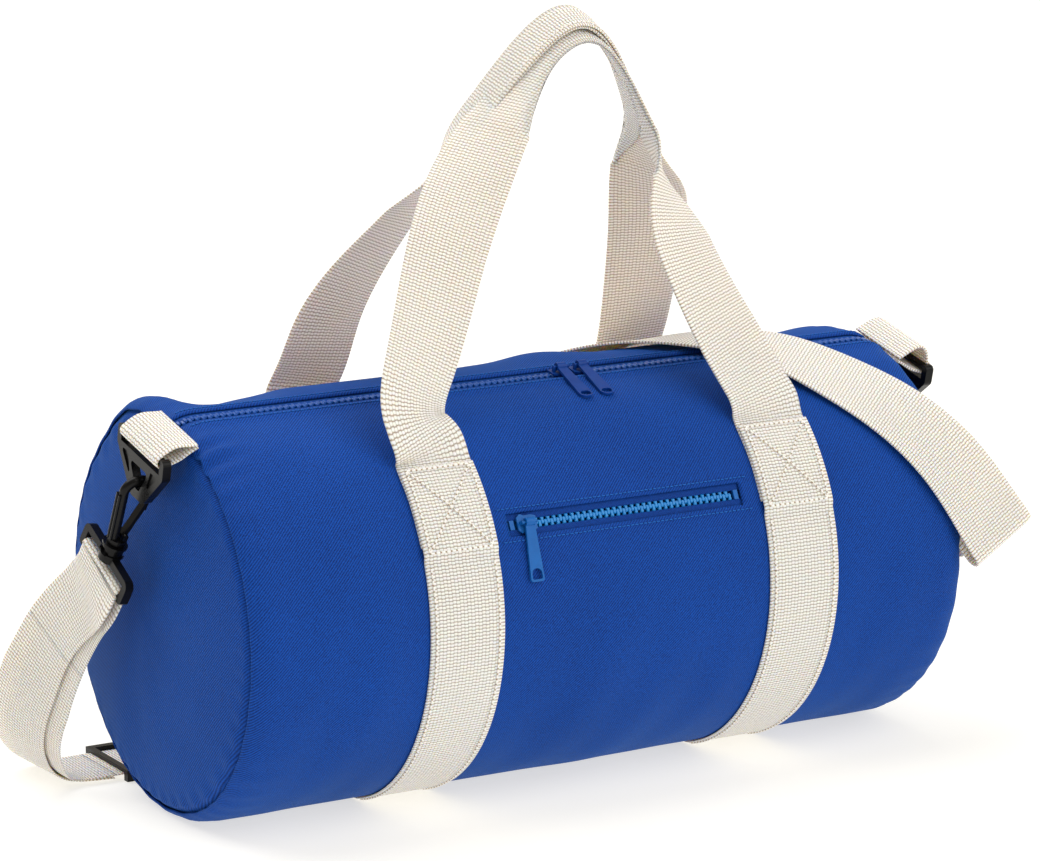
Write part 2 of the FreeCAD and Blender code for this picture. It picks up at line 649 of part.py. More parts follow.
def make_clip(name, axes):
    """Swivel snap hook, its sprung gate and the strap loop that it turns in."""
    lean = radians(hook_lean)
    shank_top = V(0, bend_radius * cos(lean), -bend_radius * sin(lean))
    shank_end = shank_top - V(0, sin(lean), cos(lean)) * hook_reach
    bend_end = V(0, -bend_radius, 0)
    nose = V(0, -bend_radius, -hook_nose)
    path = Part.Wire([line(shank_end, shank_top), arc(shank_top, V(0, 0, bend_radius), bend_end),
                      line(bend_end, nose)])
    section = Part.Wire([Part.Circle(shank_end, shank_top - shank_end, hook_rod / 2).toShape()])
    hook = path.makePipeShell([section], True, False)
    spine = V(0, hook_rod / 2 * cos(lean), -hook_rod / 2 * sin(lean))
    for side in (-1, 1):
        beside = spine + V(side * hook_rod / 4, 0, 0)
        hook = hook.fuse(rod(hook_ridge, shank_end + beside, shank_top + beside))
    flange_top = hook_flange_height - flange_bottom
    hook = hook.fuse(rod(hook_flange, V(0, 0, -flange_bottom), V(0, 0, flange_top)))
    hook = hook.fuse(rod(stem_rod, V(0, 0, -head_bottom), V(0, 0, -flange_bottom)))
    hook = hook.fuse(rod(stem_head, V(0, 0, -head_bottom), V(0, 0, -head_top)))
    pivot = V(0, -gate_root, flange_top + gate_rise)
    inner = gate_width / 2 + swivel_play
    outer = inner + ear_thickness
    for side in (-1, 1):
        ends = sorted((side * inner, side * outer))
        ear = box(*ends, pivot.y - ear_width / 2, pivot.y + ear_width / 2,
                  flange_top - hook_flange_height / 2, pivot.z)
        ear = ear.fuse(rod(ear_width, V(ends[0], pivot.y, pivot.z), V(ends[1], pivot.y, pivot.z)))
        hook = hook.fuse(ear)
    pin_hole = rod(gate_pin + swivel_play, V(-outer, pivot.y, pivot.z), V(outer, pivot.y, pivot.z))
    save(name + "_hook", hook.cut(pin_hole).transformed(frame(*axes)))

    tip = nose - V(0, 0, gate_gap)
    along = (tip - pivot).normalize()
    side_way = V(0, along.z, -along.y)
    half = gate_thickness / 2
    head = tip - along * gate_head_length
    outline = [pivot - side_way * half, head - side_way * half, head - side_way * (gate_head - half),
               tip - side_way * half, tip + side_way * half, pivot + side_way * half]
    blade = prism([point - X_DIR * (gate_width / 2) for point in outline], X_DIR * gate_width)
    root = rod(gate_thickness, pivot - X_DIR * (gate_width / 2), pivot + X_DIR * (gate_width / 2))
    pin = rod(gate_pin, pivot - X_DIR * outer, pivot + X_DIR * outer)
    save(name + "_hook_gate", blade.fuse(root).fuse(pin).transformed(frame(*axes)))

    low = -loop_bar_depth - ring_thickness / 2
    corners = [V(-ring_half, 0, -window_bottom), V(ring_half, 0, -window_bottom),
               V(ring_half, 0, low), V(-ring_half, 0, low)]
    loop = plate(rounded(corners, [ring_side] * 2 + [ring_rod / 2] * 2), ring_thickness)
    slot_top = -window_bottom - loop_bar
    loop = loop.cut(box(-slot_half, slot_half, -ring_thickness, ring_thickness, 2 * low, slot_top))
    bar_end = slot_half + ring_side / 2
    loop = loop.fuse(rod(ring_rod, V(-bar_end, 0, -loop_bar_depth), V(bar_end, 0, -loop_bar_depth)))
    loop = loop.fuse(rod(collar_diameter, V(0, 0, slot_top), V(0, 0, -collar_top)))
    lipped = collar_diameter + 2 * collar_lip
    for ring_top in (-collar_top, -window_bottom + collar_ring):
        loop = loop.fuse(rod(lipped, V(0, 0, ring_top - collar_ring), V(0, 0, ring_top)))
    cavity_top = -collar_top - collar_wall
    loop = loop.cut(rod(stem_head + 2 * swivel_play, V(0, 0, -window_bottom), V(0, 0, cavity_top)))
    window = stem_head / 2
    loop = loop.cut(box(-window, window, -collar_diameter, collar_diameter, -window_bottom, cavity_top))
    bore = rod(stem_rod + 2 * swivel_play, V(0, 0, cavity_top), V(0, 0, -collar_top + swivel_play))
    save(name + "_strap_loop", loop.cut(bore).transformed(frame(*axes)))


def half_turn(centre, across, side, along, inner, outer):
    """Half turn of webbing about an axis, from one side of it towards a direction and round."""
    corner = centre - across * half_web
    edges = [
        arc(corner + side * outer, corner + along * outer, corner - side * outer),
        line(corner - side * outer, corner - side * inner),
        arc(corner - side * inner, corner + along * inner, corner + side * inner),
        line(corner + side * inner, corner + side * outer),
    ]
    return Part.Face(Part.Wire(edges)).extrude(across * webbing_width)


def webbing_strip(points, across, count, offsets=None, trim=0.0):
    """Webbing of full width through points; offsets step it off its face to make a second layer."""
    sizes = ([webbing_width] * len(points), [webbing] * len(points))
    return ribbon(points, across, *sizes, offsets or [0.0] * len(points), count, trim)


def make_strap(left_axes, right_axes):
    """Shoulder strap from the left clip, along the floor, up the back and over the top right."""
    origin, across, outward, up = left_axes
    bar = origin - up * loop_bar_depth
    end_x = -half_length
    drop_z = floor_gap + webbing + strap_layer_gap + webbing / 2
    lie_y = radius - half_web
    y_dir = V(0, 1, 0)
    leave = bar - outward * wrap_middle
    drop = [leave, leave - up * ring_rod, leave - up * (2 * ring_rod),
            leave - up * (5 * ring_rod) + y_dir * ring_rod]
    drop += [V(end_x - strap_out * out, lie_y * aside, axis_z * height)
             for out, aside, height in drop_stations]
    drop += [V(end_x - strap_out / 2, lie_y, drop_z + webbing), V(end_x - ring_side, lie_y, drop_z),
             V(end_x + ring_side, lie_y, drop_z)]
    drop_across = [across] * 4 + [V(*turn) for turn in drop_turns] + [y_dir] * 3
    offsets = [-2 * wrap_middle] * 3 + [-(webbing + strap_layer_gap)] * (len(drop) - 3)
    save("strap_left_drop", webbing_strip(drop, drop_across, drop_sections, trim=strap_joint))
    returned = webbing_strip(drop, drop_across, drop_sections, offsets)
    turn = half_turn(bar, across, outward, up, wrap_inner, wrap_outer)
    save("strap_left_return", returned.fuse(turn))

    lie = radians(strap_slope)
    flat = V(adjuster_length + 2 * ring_side, 0, 0)
    start = drop[-1]
    run = [start + X_DIR * strap_joint, start + flat / 2, start + flat,
           start + flat * 2 + V(-ring_side, ring_side, ring_side)]
    run_across = [y_dir, y_dir, y_dir, V(*lie_turn)]
    for share, angle, lifts in strap_stations:
        run.append(on_barrel(half_length * share, angle, strap_lift * lifts))
        run_across.append(X_DIR * -cos(lie) - tangent(angle) * sin(lie))
    ahead = (run[-1] - run[-2]).normalize()
    run.append(run[-1] + ahead * ring_rod)
    run_across.append(run_across[-1])
    save("strap_run", webbing_strip(run, run_across, run_sections))

    origin, across, outward, up = right_axes
    bar = origin - up * loop_bar_depth
    leave = bar - outward * wrap_middle
    end = run[-1] + ahead * strap_joint
    edge = (run_across[-1] - ahead * run_across[-1].dot(ahead)).normalize()
    face = ahead.cross(edge)
    inward = face if face.y > 0 else -face
    hidden = end + inward * (2 * strap_fold)
    below = leave - up * (4 * ring_rod)
    beside = hidden - ahead * (3 * ring_rod)
    between = (below + beside) / 2 + X_DIR * (2 * ring_side)
    back = [leave, leave - up * ring_rod, below, between, beside, hidden]
    back_across = [across, across, across * 4 + edge, across + edge, edge, edge]
    returned = webbing_strip(back, back_across, return_sections)
    half = webbing / 2
    fold = half_turn(end + inward * strap_fold, edge, inward, ahead, strap_fold - half, strap_fold + half)
    turn = half_turn(bar, across, outward, up, wrap_inner, wrap_outer)
    save("strap_right_return", returned.fuse(fold).fuse(turn))


def make_adjuster():
    """Three-bar slide: the strap passes over its middle bar and under its two end bars."""
    middle = V(-half_length + 2 * ring_side + adjuster_length / 2, radius - half_web, 0)
    half = adjuster_length / 2
    bar_top = floor_gap + webbing + strap_layer_gap - adjuster_play
    top = bar_top + webbing + 2 * adjuster_play
    rail_in = half_web + adjuster_play
    rail_out = rail_in + adjuster_rail
    slide = box(-half, half, rail_in, rail_out, 0, top + adjuster_plate)
    slide = slide.fuse(box(-half, half, -rail_out, -rail_in, 0, top + adjuster_plate))
    slide = slide.fuse(box(-adjuster_bar / 2, adjuster_bar / 2, -rail_out, rail_out, 0, bar_top))
    for end in (-half, half - adjuster_bar):
        slide = slide.fuse(box(end, end + adjuster_bar, -rail_out, rail_out, top, top + adjuster_plate))
    slide.translate(middle)
    save("strap_adjuster", slide)


make_body()
make_zips()
make_pocket()
make_bands()
grip_top = axis_z + radius + handle_rise
make_handle("front", -1, grip_top - handle_nesting)
make_handle("back", 1, grip_top)
left_clip = clip_axes(-1, left_clip_tilt, left_clip_lean)
right_clip = clip_axes(1, right_clip_tilt, right_clip_lean)
for side_name, side_out, side_clip in (("left", -1, left_clip), ("right", 1, right_clip)):
    make_tab(side_name, side_out)
    make_ring(side_name, side_out)
    make_clip(side_name, side_clip)
make_strap(left_clip, right_clip)
make_adjuster()
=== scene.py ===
"""Barrel bag: the cloth, webbing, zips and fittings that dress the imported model.

Sizes are in millimetres and become metres when a mesh is made. Angles round the barrel are in
degrees from its top towards the pocket side, which faces -Y.
"""
import logging
from dataclasses import dataclass, field
from enum import Enum
from typing import Any

import bpy
import numpy as np
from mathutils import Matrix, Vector

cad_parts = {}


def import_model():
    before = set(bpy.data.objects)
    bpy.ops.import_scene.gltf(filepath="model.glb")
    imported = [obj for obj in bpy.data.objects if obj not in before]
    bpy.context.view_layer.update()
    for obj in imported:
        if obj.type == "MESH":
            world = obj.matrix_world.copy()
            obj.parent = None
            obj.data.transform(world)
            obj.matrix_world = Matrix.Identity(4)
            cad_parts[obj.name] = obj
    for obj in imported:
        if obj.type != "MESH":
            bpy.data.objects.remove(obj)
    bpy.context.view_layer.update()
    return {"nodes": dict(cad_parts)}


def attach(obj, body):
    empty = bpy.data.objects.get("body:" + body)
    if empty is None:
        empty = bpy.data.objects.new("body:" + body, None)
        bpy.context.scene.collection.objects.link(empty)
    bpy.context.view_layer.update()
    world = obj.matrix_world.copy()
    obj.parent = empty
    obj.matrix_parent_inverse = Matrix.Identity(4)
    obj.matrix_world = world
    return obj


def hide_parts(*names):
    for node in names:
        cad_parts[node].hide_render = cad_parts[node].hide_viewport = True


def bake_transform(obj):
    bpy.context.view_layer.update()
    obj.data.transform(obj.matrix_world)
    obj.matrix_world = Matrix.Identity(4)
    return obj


LOG = logging.getLogger("barrel_bag")
MM = 0.001
Array = np.ndarray
Colour = tuple[float, float, float]
Row = tuple[Array, Array]
Bar = tuple[Array, Array, Array, Array]
X_DIR = np.array([1.0, 0.0, 0.0])
Y_DIR = np.array([0.0, 1.0, 0.0])

# Webbing of the bands, handles, tabs and strap
WEB_WIDTH = 50.0
WEB_THICKNESS = 1.6
# Share of the half width where a fold's crease starts, the share folded by which the edge has
# turned right over, and the distance from the crease over which the layers part
CREASE_START = 0.975
CURLED_BY = 0.12
PARTED_BY = 1.5
# Ends of two strips that lie closer than this are one place
SAME_PLACE = 0.01
# Step to each side of a stitch between which its direction is taken
STITCH_REACH = 0.2
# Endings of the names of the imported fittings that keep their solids
PLASTIC_FITTINGS = ("_hook", "_hook_gate", "_strap_loop", "_d_ring", "_adjuster")
METAL_FITTINGS = ("_slider", "_pull", "_stops")


class Slot(Enum):
    """The record's material slots."""

    FABRIC = "bag_fabric"
    WEBBING = "webbing"
    TAPE = "zip_tape"
    TEETH = "zip_teeth"


class Place(Enum):
    """A part of the bag, as the sign of an axis."""

    @property
    def word(self) -> str:
        """The word for it in the names of pieces."""
        return self.name.lower()


class Side(Place):
    """The handle's side of the bag, as the sign of Y."""

    FRONT = -1
    BACK = 1


class End(Place):
    """The bag's ends, as the sign of X."""

    LEFT = -1
    RIGHT = 1


# ---------------------------------------------------------------- arrays

def unit(vectors: Array) -> Array:
    """Vectors of length one."""
    return vectors / np.linalg.norm(vectors, axis=-1, keepdims=True)


def ease(value: Array, start: float, end: float) -> Array:
    """Smooth step: 0 before start, 1 after end, 3t^2 - 2t^3 between."""
    t = np.clip((value - start) / (end - start), 0.0, 1.0)
    return t * t * (3.0 - 2.0 * t)


def hump(value: Array, rise: tuple[float, float], fall: tuple[float, float]) -> Array:
    """Smooth rise from 0 to 1, then smooth fall to 0, each between its two values."""
    return ease(value, *rise) * (1.0 - ease(value, *fall))


def smooth_line(points: Array, count: int) -> tuple[Array, Array, Array]:
    """Natural cubic spline through points, read at equal steps of chord length.

    The second derivatives solve h0 m0 + 2(h0 + h1) m1 + h1 m2 = 6 (slope1 - slope0), and each
    stretch is the cubic that has them at its ends.

    Args:
        points: The points, one a row.
        count: How many places to read.

    Returns:
        The places, the chord length at each point and the chord length at each place.
    """
    gaps = np.linalg.norm(np.diff(points, axis=0), axis=1)
    knots = np.concatenate([[0.0], np.cumsum(gaps)])
    size = len(points)
    inner = np.arange(1, size - 1)
    system = np.eye(size)
    system[inner, inner - 1] = gaps[:-1]
    system[inner, inner] = 2.0 * (gaps[:-1] + gaps[1:])
    system[inner, inner + 1] = gaps[1:]
    known = np.zeros((size, 3))
    known[1:-1] = 6.0 * np.diff(np.diff(points, axis=0) / gaps[:, None], axis=0)
    bend = np.linalg.solve(system, known)
    at = np.linspace(0.0, knots[-1], count)
    cell = np.clip(np.searchsorted(knots, at, side="right") - 1, 0, size - 2)
    step = gaps[cell][:, None]
    t = (at - knots[cell])[:, None] / step
    s = 1.0 - t
    places = points[cell] * s + points[cell + 1] * t
    places += step ** 2 / 6.0 * ((s ** 3 - s) * bend[cell] + (t ** 3 - t) * bend[cell + 1])
    return places, knots, at


def columns(knots: Array, values: Array, at: Array) -> Array:
    """Each column of values, given at knots, read in straight lines between them."""
    return np.stack([np.interp(at, knots, column) for column in values.T], axis=-1)


@dataclass(frozen=True)
class Strip:
    """A line with the width and face directions of a flat band at each place on it."""

    centre: Array
    side: Array
    face: Array
    run: Array

    @staticmethod
    def through(centre: Array, across: Array) -> "Strip":
        """Strip along a line of places.

        Args:
            centre: The places along the line.
            across: One width direction, or one at each place, not yet square to the line.

        Returns:
            The strip, whose face direction is along x side.
        """
        along = unit(np.gradient(centre, axis=0))
        across = np.broadcast_to(across, centre.shape)
        side = unit(across - along * np.sum(across * along, axis=1, keepdims=True))
        steps = np.linalg.norm(np.diff(centre, axis=0), axis=1)
        return Strip(centre, side, np.cross(along, side), np.concatenate([[0.0], np.cumsum(steps)]))

    @staticmethod
    def route(points: Array, across: Array, count: int) -> "Strip":
        """Strip on a smooth line through a few points, with its width direction at each."""
        places, knots, at = smooth_line(points, count)
        return Strip.through(places, columns(knots, across, at))

    def raised(self, offset: Array, shift: Array | float = 0.0) -> "Strip":
        """The strip moved by face * offset + side * shift, each place by its own amount.

        Args:
            offset: The move off the face.
            shift: The move sideways.

        Returns:
            The moved strip, with the directions and lengths of this one.
        """
        offset = np.broadcast_to(offset, self.run.shape)[:, None]
        shift = np.broadcast_to(shift, self.run.shape)[:, None]
        centre = self.centre + self.face * offset + self.side * shift
        return Strip(centre, self.side, self.face, self.run)

    def between(self, start: float, end: float) -> "Strip":
        """The stretch between two lengths along the strip, with an end at each.

        Args:
            start: The length where it starts.
            end: The length where it ends.

        Returns:
            The stretch, which keeps its lengths along the whole strip.
        """
        inside = (self.run > start) & (self.run < end)
        run = np.concatenate([[start], self.run[inside], [end]])
        parts = (self.centre, self.side, self.face)
        centre, side, face = (columns(self.run, part, run) for part in parts)
        return Strip(centre, unit(side), unit(face), run)

    def joined(self, other: "Strip") -> "Strip":
        """This strip followed by another that starts where it ends.

        Args:
            other: The strip that follows.

        Returns:
            Both as one, with the place where they meet once.
        """
        gap = float(np.linalg.norm(other.centre[0] - self.centre[-1]))
        start = 1 if gap < SAME_PLACE else 0
        run = other.run[start:] - other.run[0] + self.run[-1] + gap
        parts = zip((self.centre, self.side, self.face, self.run),
                    (other.centre[start:], other.side[start:], other.face[start:], run))
        return Strip(*(np.concatenate(pair) for pair in parts))

    def reversed(self) -> "Strip":
        """The strip walked from its other end, with the same side towards its face."""
        run = self.run[-1] - self.run[::-1]
        return Strip(self.centre[::-1], -self.side[::-1], self.face[::-1], run)

    def at(self, run: float) -> Array:
        """Point at a length along the strip."""
        return columns(self.run, self.centre, np.array([run]))[0]


def half_turn(centre: Array, start: Array, way: Array, radius: float, count: int = 15) -> Array:
    """Places on half a circle: centre + radius (start cos t + way sin t), t from 0 to pi.

    Args:
        centre: The circle's middle.
        start: Direction of its first place from the middle.
        way: Direction in which it bulges.
        radius: Its radius.
        count: How many places.

    Returns:
        The places, one a row.
    """
    t = np.linspace(0.0, np.pi, count)[:, None]
    return centre + radius * (start * np.cos(t) + way * np.sin(t))


# ---------------------------------------------------------------- meshes

def grid_faces(rows: int, cols: int, round_cols: bool = False) -> Array:
    """Four corners of each face of a grid; the normal is along x across.

    Args:
        rows: How many points one way.
        cols: How many points the other way.
        round_cols: Whether the last column meets the first.

    Returns:
        The corners' numbers, one face a row.
    """
    steps = cols if round_cols else cols - 1
    i, j = np.meshgrid(np.arange(rows - 1), np.arange(steps), indexing="ij")
    k = (j + 1) % cols
    corners = (i * cols + j, (i + 1) * cols + j, (i + 1) * cols + k, i * cols + k)
    return np.stack([corner.ravel() for corner in corners], axis=-1)


def make_piece(name: str, points: Array, faces: list[list[int]], uv: Array) -> bpy.types.Object:
    """Object at the origin with smooth faces and a UV map in metres.

    Args:
        name: The piece's name.
        points: Its points in millimetres.
        faces: The corners of each face.
        uv: A place in millimetres on the cloth for each point.

    Returns:
        The new object.
    """
    mesh = bpy.data.meshes.new(name)
    mesh.from_pydata((points * MM).tolist(), [], faces)
    corner = np.empty(len(mesh.loops), np.int32)
    mesh.loops.foreach_get("vertex_index", corner)
    layer = mesh.uv_layers.new(name="cloth")
    layer.data.foreach_set("uv", (uv[corner] * MM).astype(np.float32).ravel())
    mesh.polygons.foreach_set("use_smooth", np.array([len(face) <= 4 for face in faces]))
    mesh.update()
    piece = bpy.data.objects.new(name, mesh)
    bpy.context.scene.collection.objects.link(piece)
    return piece


def section(count: int = 15) -> tuple[Array, Array]:
    """Outline of a flat band with rounded edges: p = sin t across, q = (1 - p^24)^(1/2) off it.

    Args:
        count: How many points from one edge to the other.

    Returns:
        The shares p and q of half the width and half the thickness, once round the band.
    """
    p = np.sin(np.linspace(-np.pi / 2, np.pi / 2, count))
    q = np.sqrt(np.clip(1.0 - p ** 24, 0.0, 1.0))
    return np.concatenate([p, p[-2:0:-1]]), np.concatenate([q, -q[-2:0:-1]])


def ribbon(name: str, strip: Strip, width: float = WEB_WIDTH, thickness: float = WEB_THICKNESS,
           fold: Array | float = 0.0, way: int = 1, gap: float = 0.4) -> bpy.types.Object:
    """Closed webbing band carried along a strip, folded lengthwise by a share at each place.

    The width beyond a crease turns over. As the share grows from 0, the edge first curls over by
    pi, then the crease slides from near the edge to the middle, so that the doubled band is half
    as wide; the band moves sideways to stay about its line.

    Args:
        name: The piece's name.
        strip: The line that it follows.
        width: Its flat width.
        thickness: Its thickness.
        fold: Share folded at each place, 0 flat and 1 double.
        way: Side that the turned half goes to, 1 for the face and -1 for the back.
        gap: Space between the layers of the fold.

    Returns:
        The new object.
    """
    p, q = (row[None, :] for row in section())
    share = np.broadcast_to(fold, strip.run.shape)[:, None]
    half = width / 2
    curl = ease(share, 0.0, CURLED_BY)
    turn = np.pi * (1.0 - curl)
    crease = half * CREASE_START * (1.0 - share)
    flat = np.where(p > 0, crease + p * (half - crease), -half + (p + 1.0) * (crease + half))
    reach = np.abs(flat - crease)
    apart = way * curl * (thickness + gap) / 2 * np.clip(reach / PARTED_BY, 0.0, 1.0)
    swell = q * thickness / 2
    turned = crease - reach * np.cos(turn) - way * swell * np.sin(turn)
    lateral = np.where(p > 0, turned, flat) + curl * (half - crease) / 2
    raised = way * reach * np.sin(turn) - swell * np.cos(turn) + apart
    height = np.where(p > 0, raised, swell - apart)
    points = (strip.centre[:, None] + strip.side[:, None] * lateral[..., None]
              + strip.face[:, None] * height[..., None])
    rows, cols = lateral.shape
    faces = grid_faces(rows, cols, True).tolist()
    loop = np.arange(cols)
    faces += [loop.tolist(), (loop[::-1] + (rows - 1) * cols).tolist()]
    uv = np.stack(np.broadcast_arrays(flat, strip.run[:, None]), axis=-1)
    return make_piece(name, points.reshape(-1, 3), faces, uv.reshape(-1, 2))


def repeated(name: str, template: Array, faces: list[list[int]],
             centres: Array, axes: Array) -> bpy.types.Object:
    """Many copies of a small shape, each with its own place and axes, as one mesh.

    Args:
        name: The piece's name.
        template: The small shape's points.
        faces: The corners of each of its faces.
        centres: A place for each copy.
        axes: Three directions for each copy, one a row.

    Returns:
        The new object.
    """
    points = centres[:, None] + np.einsum("pk,nkc->npc", template, axes)
    size = len(template)
    starts = np.arange(len(centres))[:, None, None] * size
    copies = []
    for count in sorted({len(face) for face in faces}):
        same = np.array([face for face in faces if len(face) == count])
        copies += (same[None] + starts).reshape(-1, count).tolist()
    uv = np.tile(template[:, :2], (len(centres), 1))
    return make_piece(name, points.reshape(-1, 3), copies, uv)


@dataclass(frozen=True)
class Thread:
    """Sewing thread: the size and step of its stitches."""

    pitch: float = 3.5
    length: float = 3.4
    thickness: float = 1.3
    arch: float = 0.3

    def template(self) -> tuple[Array, list[list[int]]]:
        """One stitch: rings of six points along x, thin at both ends and arched by 1 - t^2.

        Returns:
            The points, and the corners of each face.
        """
        t = np.array([-1.0, -0.6, 0.0, 0.6, 1.0])
        slim = np.array([0.6, 0.95, 1.0, 0.95, 0.6]) * self.thickness / 2
        turn = np.arange(6) * np.pi / 3
        rise = self.thickness * self.arch * (1.0 - t ** 2)
        x = np.repeat(t * self.length / 2, 6)
        y = (slim[:, None] * np.cos(turn)).ravel()
        z = (slim[:, None] * np.sin(turn) + rise[:, None]).ravel()
        faces = grid_faces(5, 6, True)[:, ::-1].tolist()
        return np.stack([x, y, z], axis=-1), faces + [list(range(5, -1, -1)), list(range(24, 30))]

    def sew(self, name: str, rows: list[Row]) -> bpy.types.Object:
        """Rows of stitches along lines.

        Args:
            name: The piece's name.
            rows: For each row, its places and the outward direction at each.

        Returns:
            The new object.
        """
        centres, axes = [], []
        for places, outward in rows:
            steps = np.linalg.norm(np.diff(places, axis=0), axis=1)
            run = np.concatenate([[0.0], np.cumsum(steps)])
            count = max(int(run[-1] / self.pitch), 1)
            at = (np.arange(count) + 0.5) * run[-1] / count
            along = unit(columns(run, places, at + STITCH_REACH)
                         - columns(run, places, at - STITCH_REACH))
            out = columns(run, outward, at)
            out = unit(out - along * np.sum(out * along, axis=1, keepdims=True))
            centres.append(columns(run, places, at))
            axes.append(np.stack([along, np.cross(out, along), out], axis=1))
        return repeated(name, *self.template(), np.concatenate(centres), np.concatenate(axes))


# ---------------------------------------------------------------- shader maths

class Wire:
    """A node's output on which arithmetic adds Math nodes."""

    def __init__(self, graph: "Graph", socket: bpy.types.NodeSocket) -> None:
        """Wrap one output of a graph."""
        self.graph = graph
        self.socket = socket

    def math(self, operation: str, *values: Any) -> "Wire":
        """The Math node of an operation on values or wires."""
        return self.graph.node("ShaderNodeMath", {"operation": operation}, dict(enumerate(values)))

    def __add__(self, other: Any) -> "Wire":
        """self + other."""
        return self.math("ADD", self, other)

    def __radd__(self, other: Any) -> "Wire":
        """other + self."""
        return self.math("ADD", other, self)

    def __sub__(self, other: Any) -> "Wire":
        """self - other."""
        return self.math("SUBTRACT", self, other)

    def __rsub__(self, other: Any) -> "Wire":
        """other - self."""
        return self.math("SUBTRACT", other, self)

    def __mul__(self, other: Any) -> "Wire":
        """self * other."""
        return self.math("MULTIPLY", self, other)

    def __rmul__(self, other: Any) -> "Wire":
        """other * self."""
        return self.math("MULTIPLY", other, self)

    def __pow__(self, other: Any) -> "Wire":
        """self ** other."""
        return self.math("POWER", self, other)

    def __rpow__(self, other: Any) -> "Wire":
        """other ** self."""
        return self.math("POWER", other, self)

    def __abs__(self) -> "Wire":
        """abs(self)."""
        return self.math("ABSOLUTE", self)

    def sine(self) -> "Wire":
        """Sine of self in radians."""
        return self.math("SINE", self)

    def rise(self, start: float, end: float) -> "Wire":
        """0 before start, 1 after end and straight between."""
        return self.graph.node("ShaderNodeMapRange", {"clamp": True},
                               {0: self, 1: start, 2: end, 3: 0.0, 4: 1.0})


class Graph:
    """The node tree of one material."""

    def __init__(self, name: str) -> None:
        """Start a material with an empty tree.

        Args:
            name: The material's name.
        """
        self.material = bpy.data.materials.new(name)
        self.material.use_nodes = True
        self.tree = self.material.node_tree
        self.tree.nodes.clear()

    def node(self, kind: str, settings: dict[str, Any], inputs: dict[Any, Any],
             output: Any = 0) -> Wire:
        """A node of any kind.

        Args:
            kind: The node's type.
            settings: Its own settings, set first.
            inputs: Values or wires for its sockets, by name or number.
            output: The socket that the wire leaves by.

        Returns:
            The wire at that socket.
        """
        made = self.tree.nodes.new(kind)
        for key, value in settings.items():
            setattr(made, key, value)
        for key, value in inputs.items():
            if isinstance(value, Wire):
                self.tree.links.new(value.socket, made.inputs[key])
            else:
                made.inputs[key].default_value = value
        return Wire(self, made.outputs[output])

    def cloth_place(self) -> tuple[Wire, Wire]:
        """Millimetres across and along the cloth, from the piece's UV map.

        Returns:
            The wires of both.
        """
        place = self.node("ShaderNodeUVMap", {"uv_map": "cloth"}, {})
        split = self.node("ShaderNodeSeparateXYZ", {}, {0: place})
        return split * (1.0 / MM), Wire(self, split.socket.node.outputs[1]) * (1.0 / MM)

    def noise(self, scale: float, detail: float, rough: float = 0.5) -> Wire:
        """Noise on object coordinates, about 0.5.

        Args:
            scale: How many grains to a metre.
            detail: How many finer layers it has.
            rough: How much each layer counts against the one before.

        Returns:
            The noise's wire.
        """
        space = self.node("ShaderNodeTexCoord", {}, {}, "Object")
        return self.node("ShaderNodeTexNoise", {}, {"Vector": space, "Scale": scale,
                                                    "Detail": detail, "Roughness": rough})

    def mix(self, share: Any, one: Any, two: Any) -> Wire:
        """Colour between two colours.

        Args:
            share: How much of the second colour.
            one: The first colour, or its wire.
            two: The second colour, or its wire.

        Returns:
            The wire of the mixed colour.
        """
        settings = {"data_type": "RGBA", "clamp_factor": True}
        opaque = [(*c, 1.0) if isinstance(c, tuple) else c for c in (one, two)]
        return self.node("ShaderNodeMix", settings, {0: share, 6: opaque[0], 7: opaque[1]}, 2)

    def bump(self, height: Wire, strength: float, distance_mm: float) -> Wire:
        """Normal bumped by a height of 0 to 1."""
        return self.node("ShaderNodeBump", {}, {"Strength": strength, "Distance": distance_mm * MM,
                                                "Height": height})

    def surface(self, inputs: dict[str, Any]) -> bpy.types.Material:
        """Finish the material with a Principled surface.

        Args:
            inputs: Values or wires for its sockets, by name.

        Returns:
            The finished material.
        """
        shader = self.node("ShaderNodeBsdfPrincipled", {}, inputs)
        out = self.tree.nodes.new("ShaderNodeOutputMaterial")
        self.tree.links.new(shader.socket, out.inputs["Surface"])
        return self.material


# ---------------------------------------------------------------- finishes

@dataclass(frozen=True)
class Finish:
    """A finish of two tones."""

    name: str
    light: Colour
    dark: Colour


@dataclass(frozen=True)
class BagCloth(Finish):
    """Coated polyester in a fine diagonal weave; pitches are in millimetres."""

    pitch: float = 1.7
    twill: float = 1.2
    wear: float = 9.0
    fleck: float = 900.0
    sheen_tint: tuple[float, float, float, float] = (0.12, 0.55, 1.0, 1.0)

    def build(self) -> bpy.types.Material:
        """Threads cross as |sin| ridges; the diagonal is the sum of both ways.

        Returns:
            The material.
        """
        g = Graph(self.name)
        u, v = g.cloth_place()
        warp = abs((u * (np.pi / self.pitch)).sine())
        weft = abs((v * (np.pi / self.pitch)).sine())
        twill = ((u + v) * (2 * np.pi / (self.pitch * self.twill))).sine() * 0.5 + 0.5
        height = warp * 0.25 + weft * 0.25 + twill * 0.5
        worn = g.noise(self.wear, 4.0)
        fleck = g.noise(self.fleck, 2.0)
        # Colour follows the twill's height: its grooves take the dark tone as painted shade, while
        # the wear and fleck noise are the cloth's own uneven tone.
        share = twill * 0.7 + worn * 0.3 + fleck * 0.9 - 0.42
        return g.surface({
            "Base Color": g.mix(share, self.dark, self.light),
            "Roughness": 0.62 + fleck * 0.22 - height * 0.06,
            "Normal": g.bump(height + fleck * 0.4, 0.6, 0.3),
            "Sheen Weight": 0.12, "Sheen Roughness": 0.45, "Sheen Tint": self.sheen_tint,
            "Specular IOR Level": 0.12})


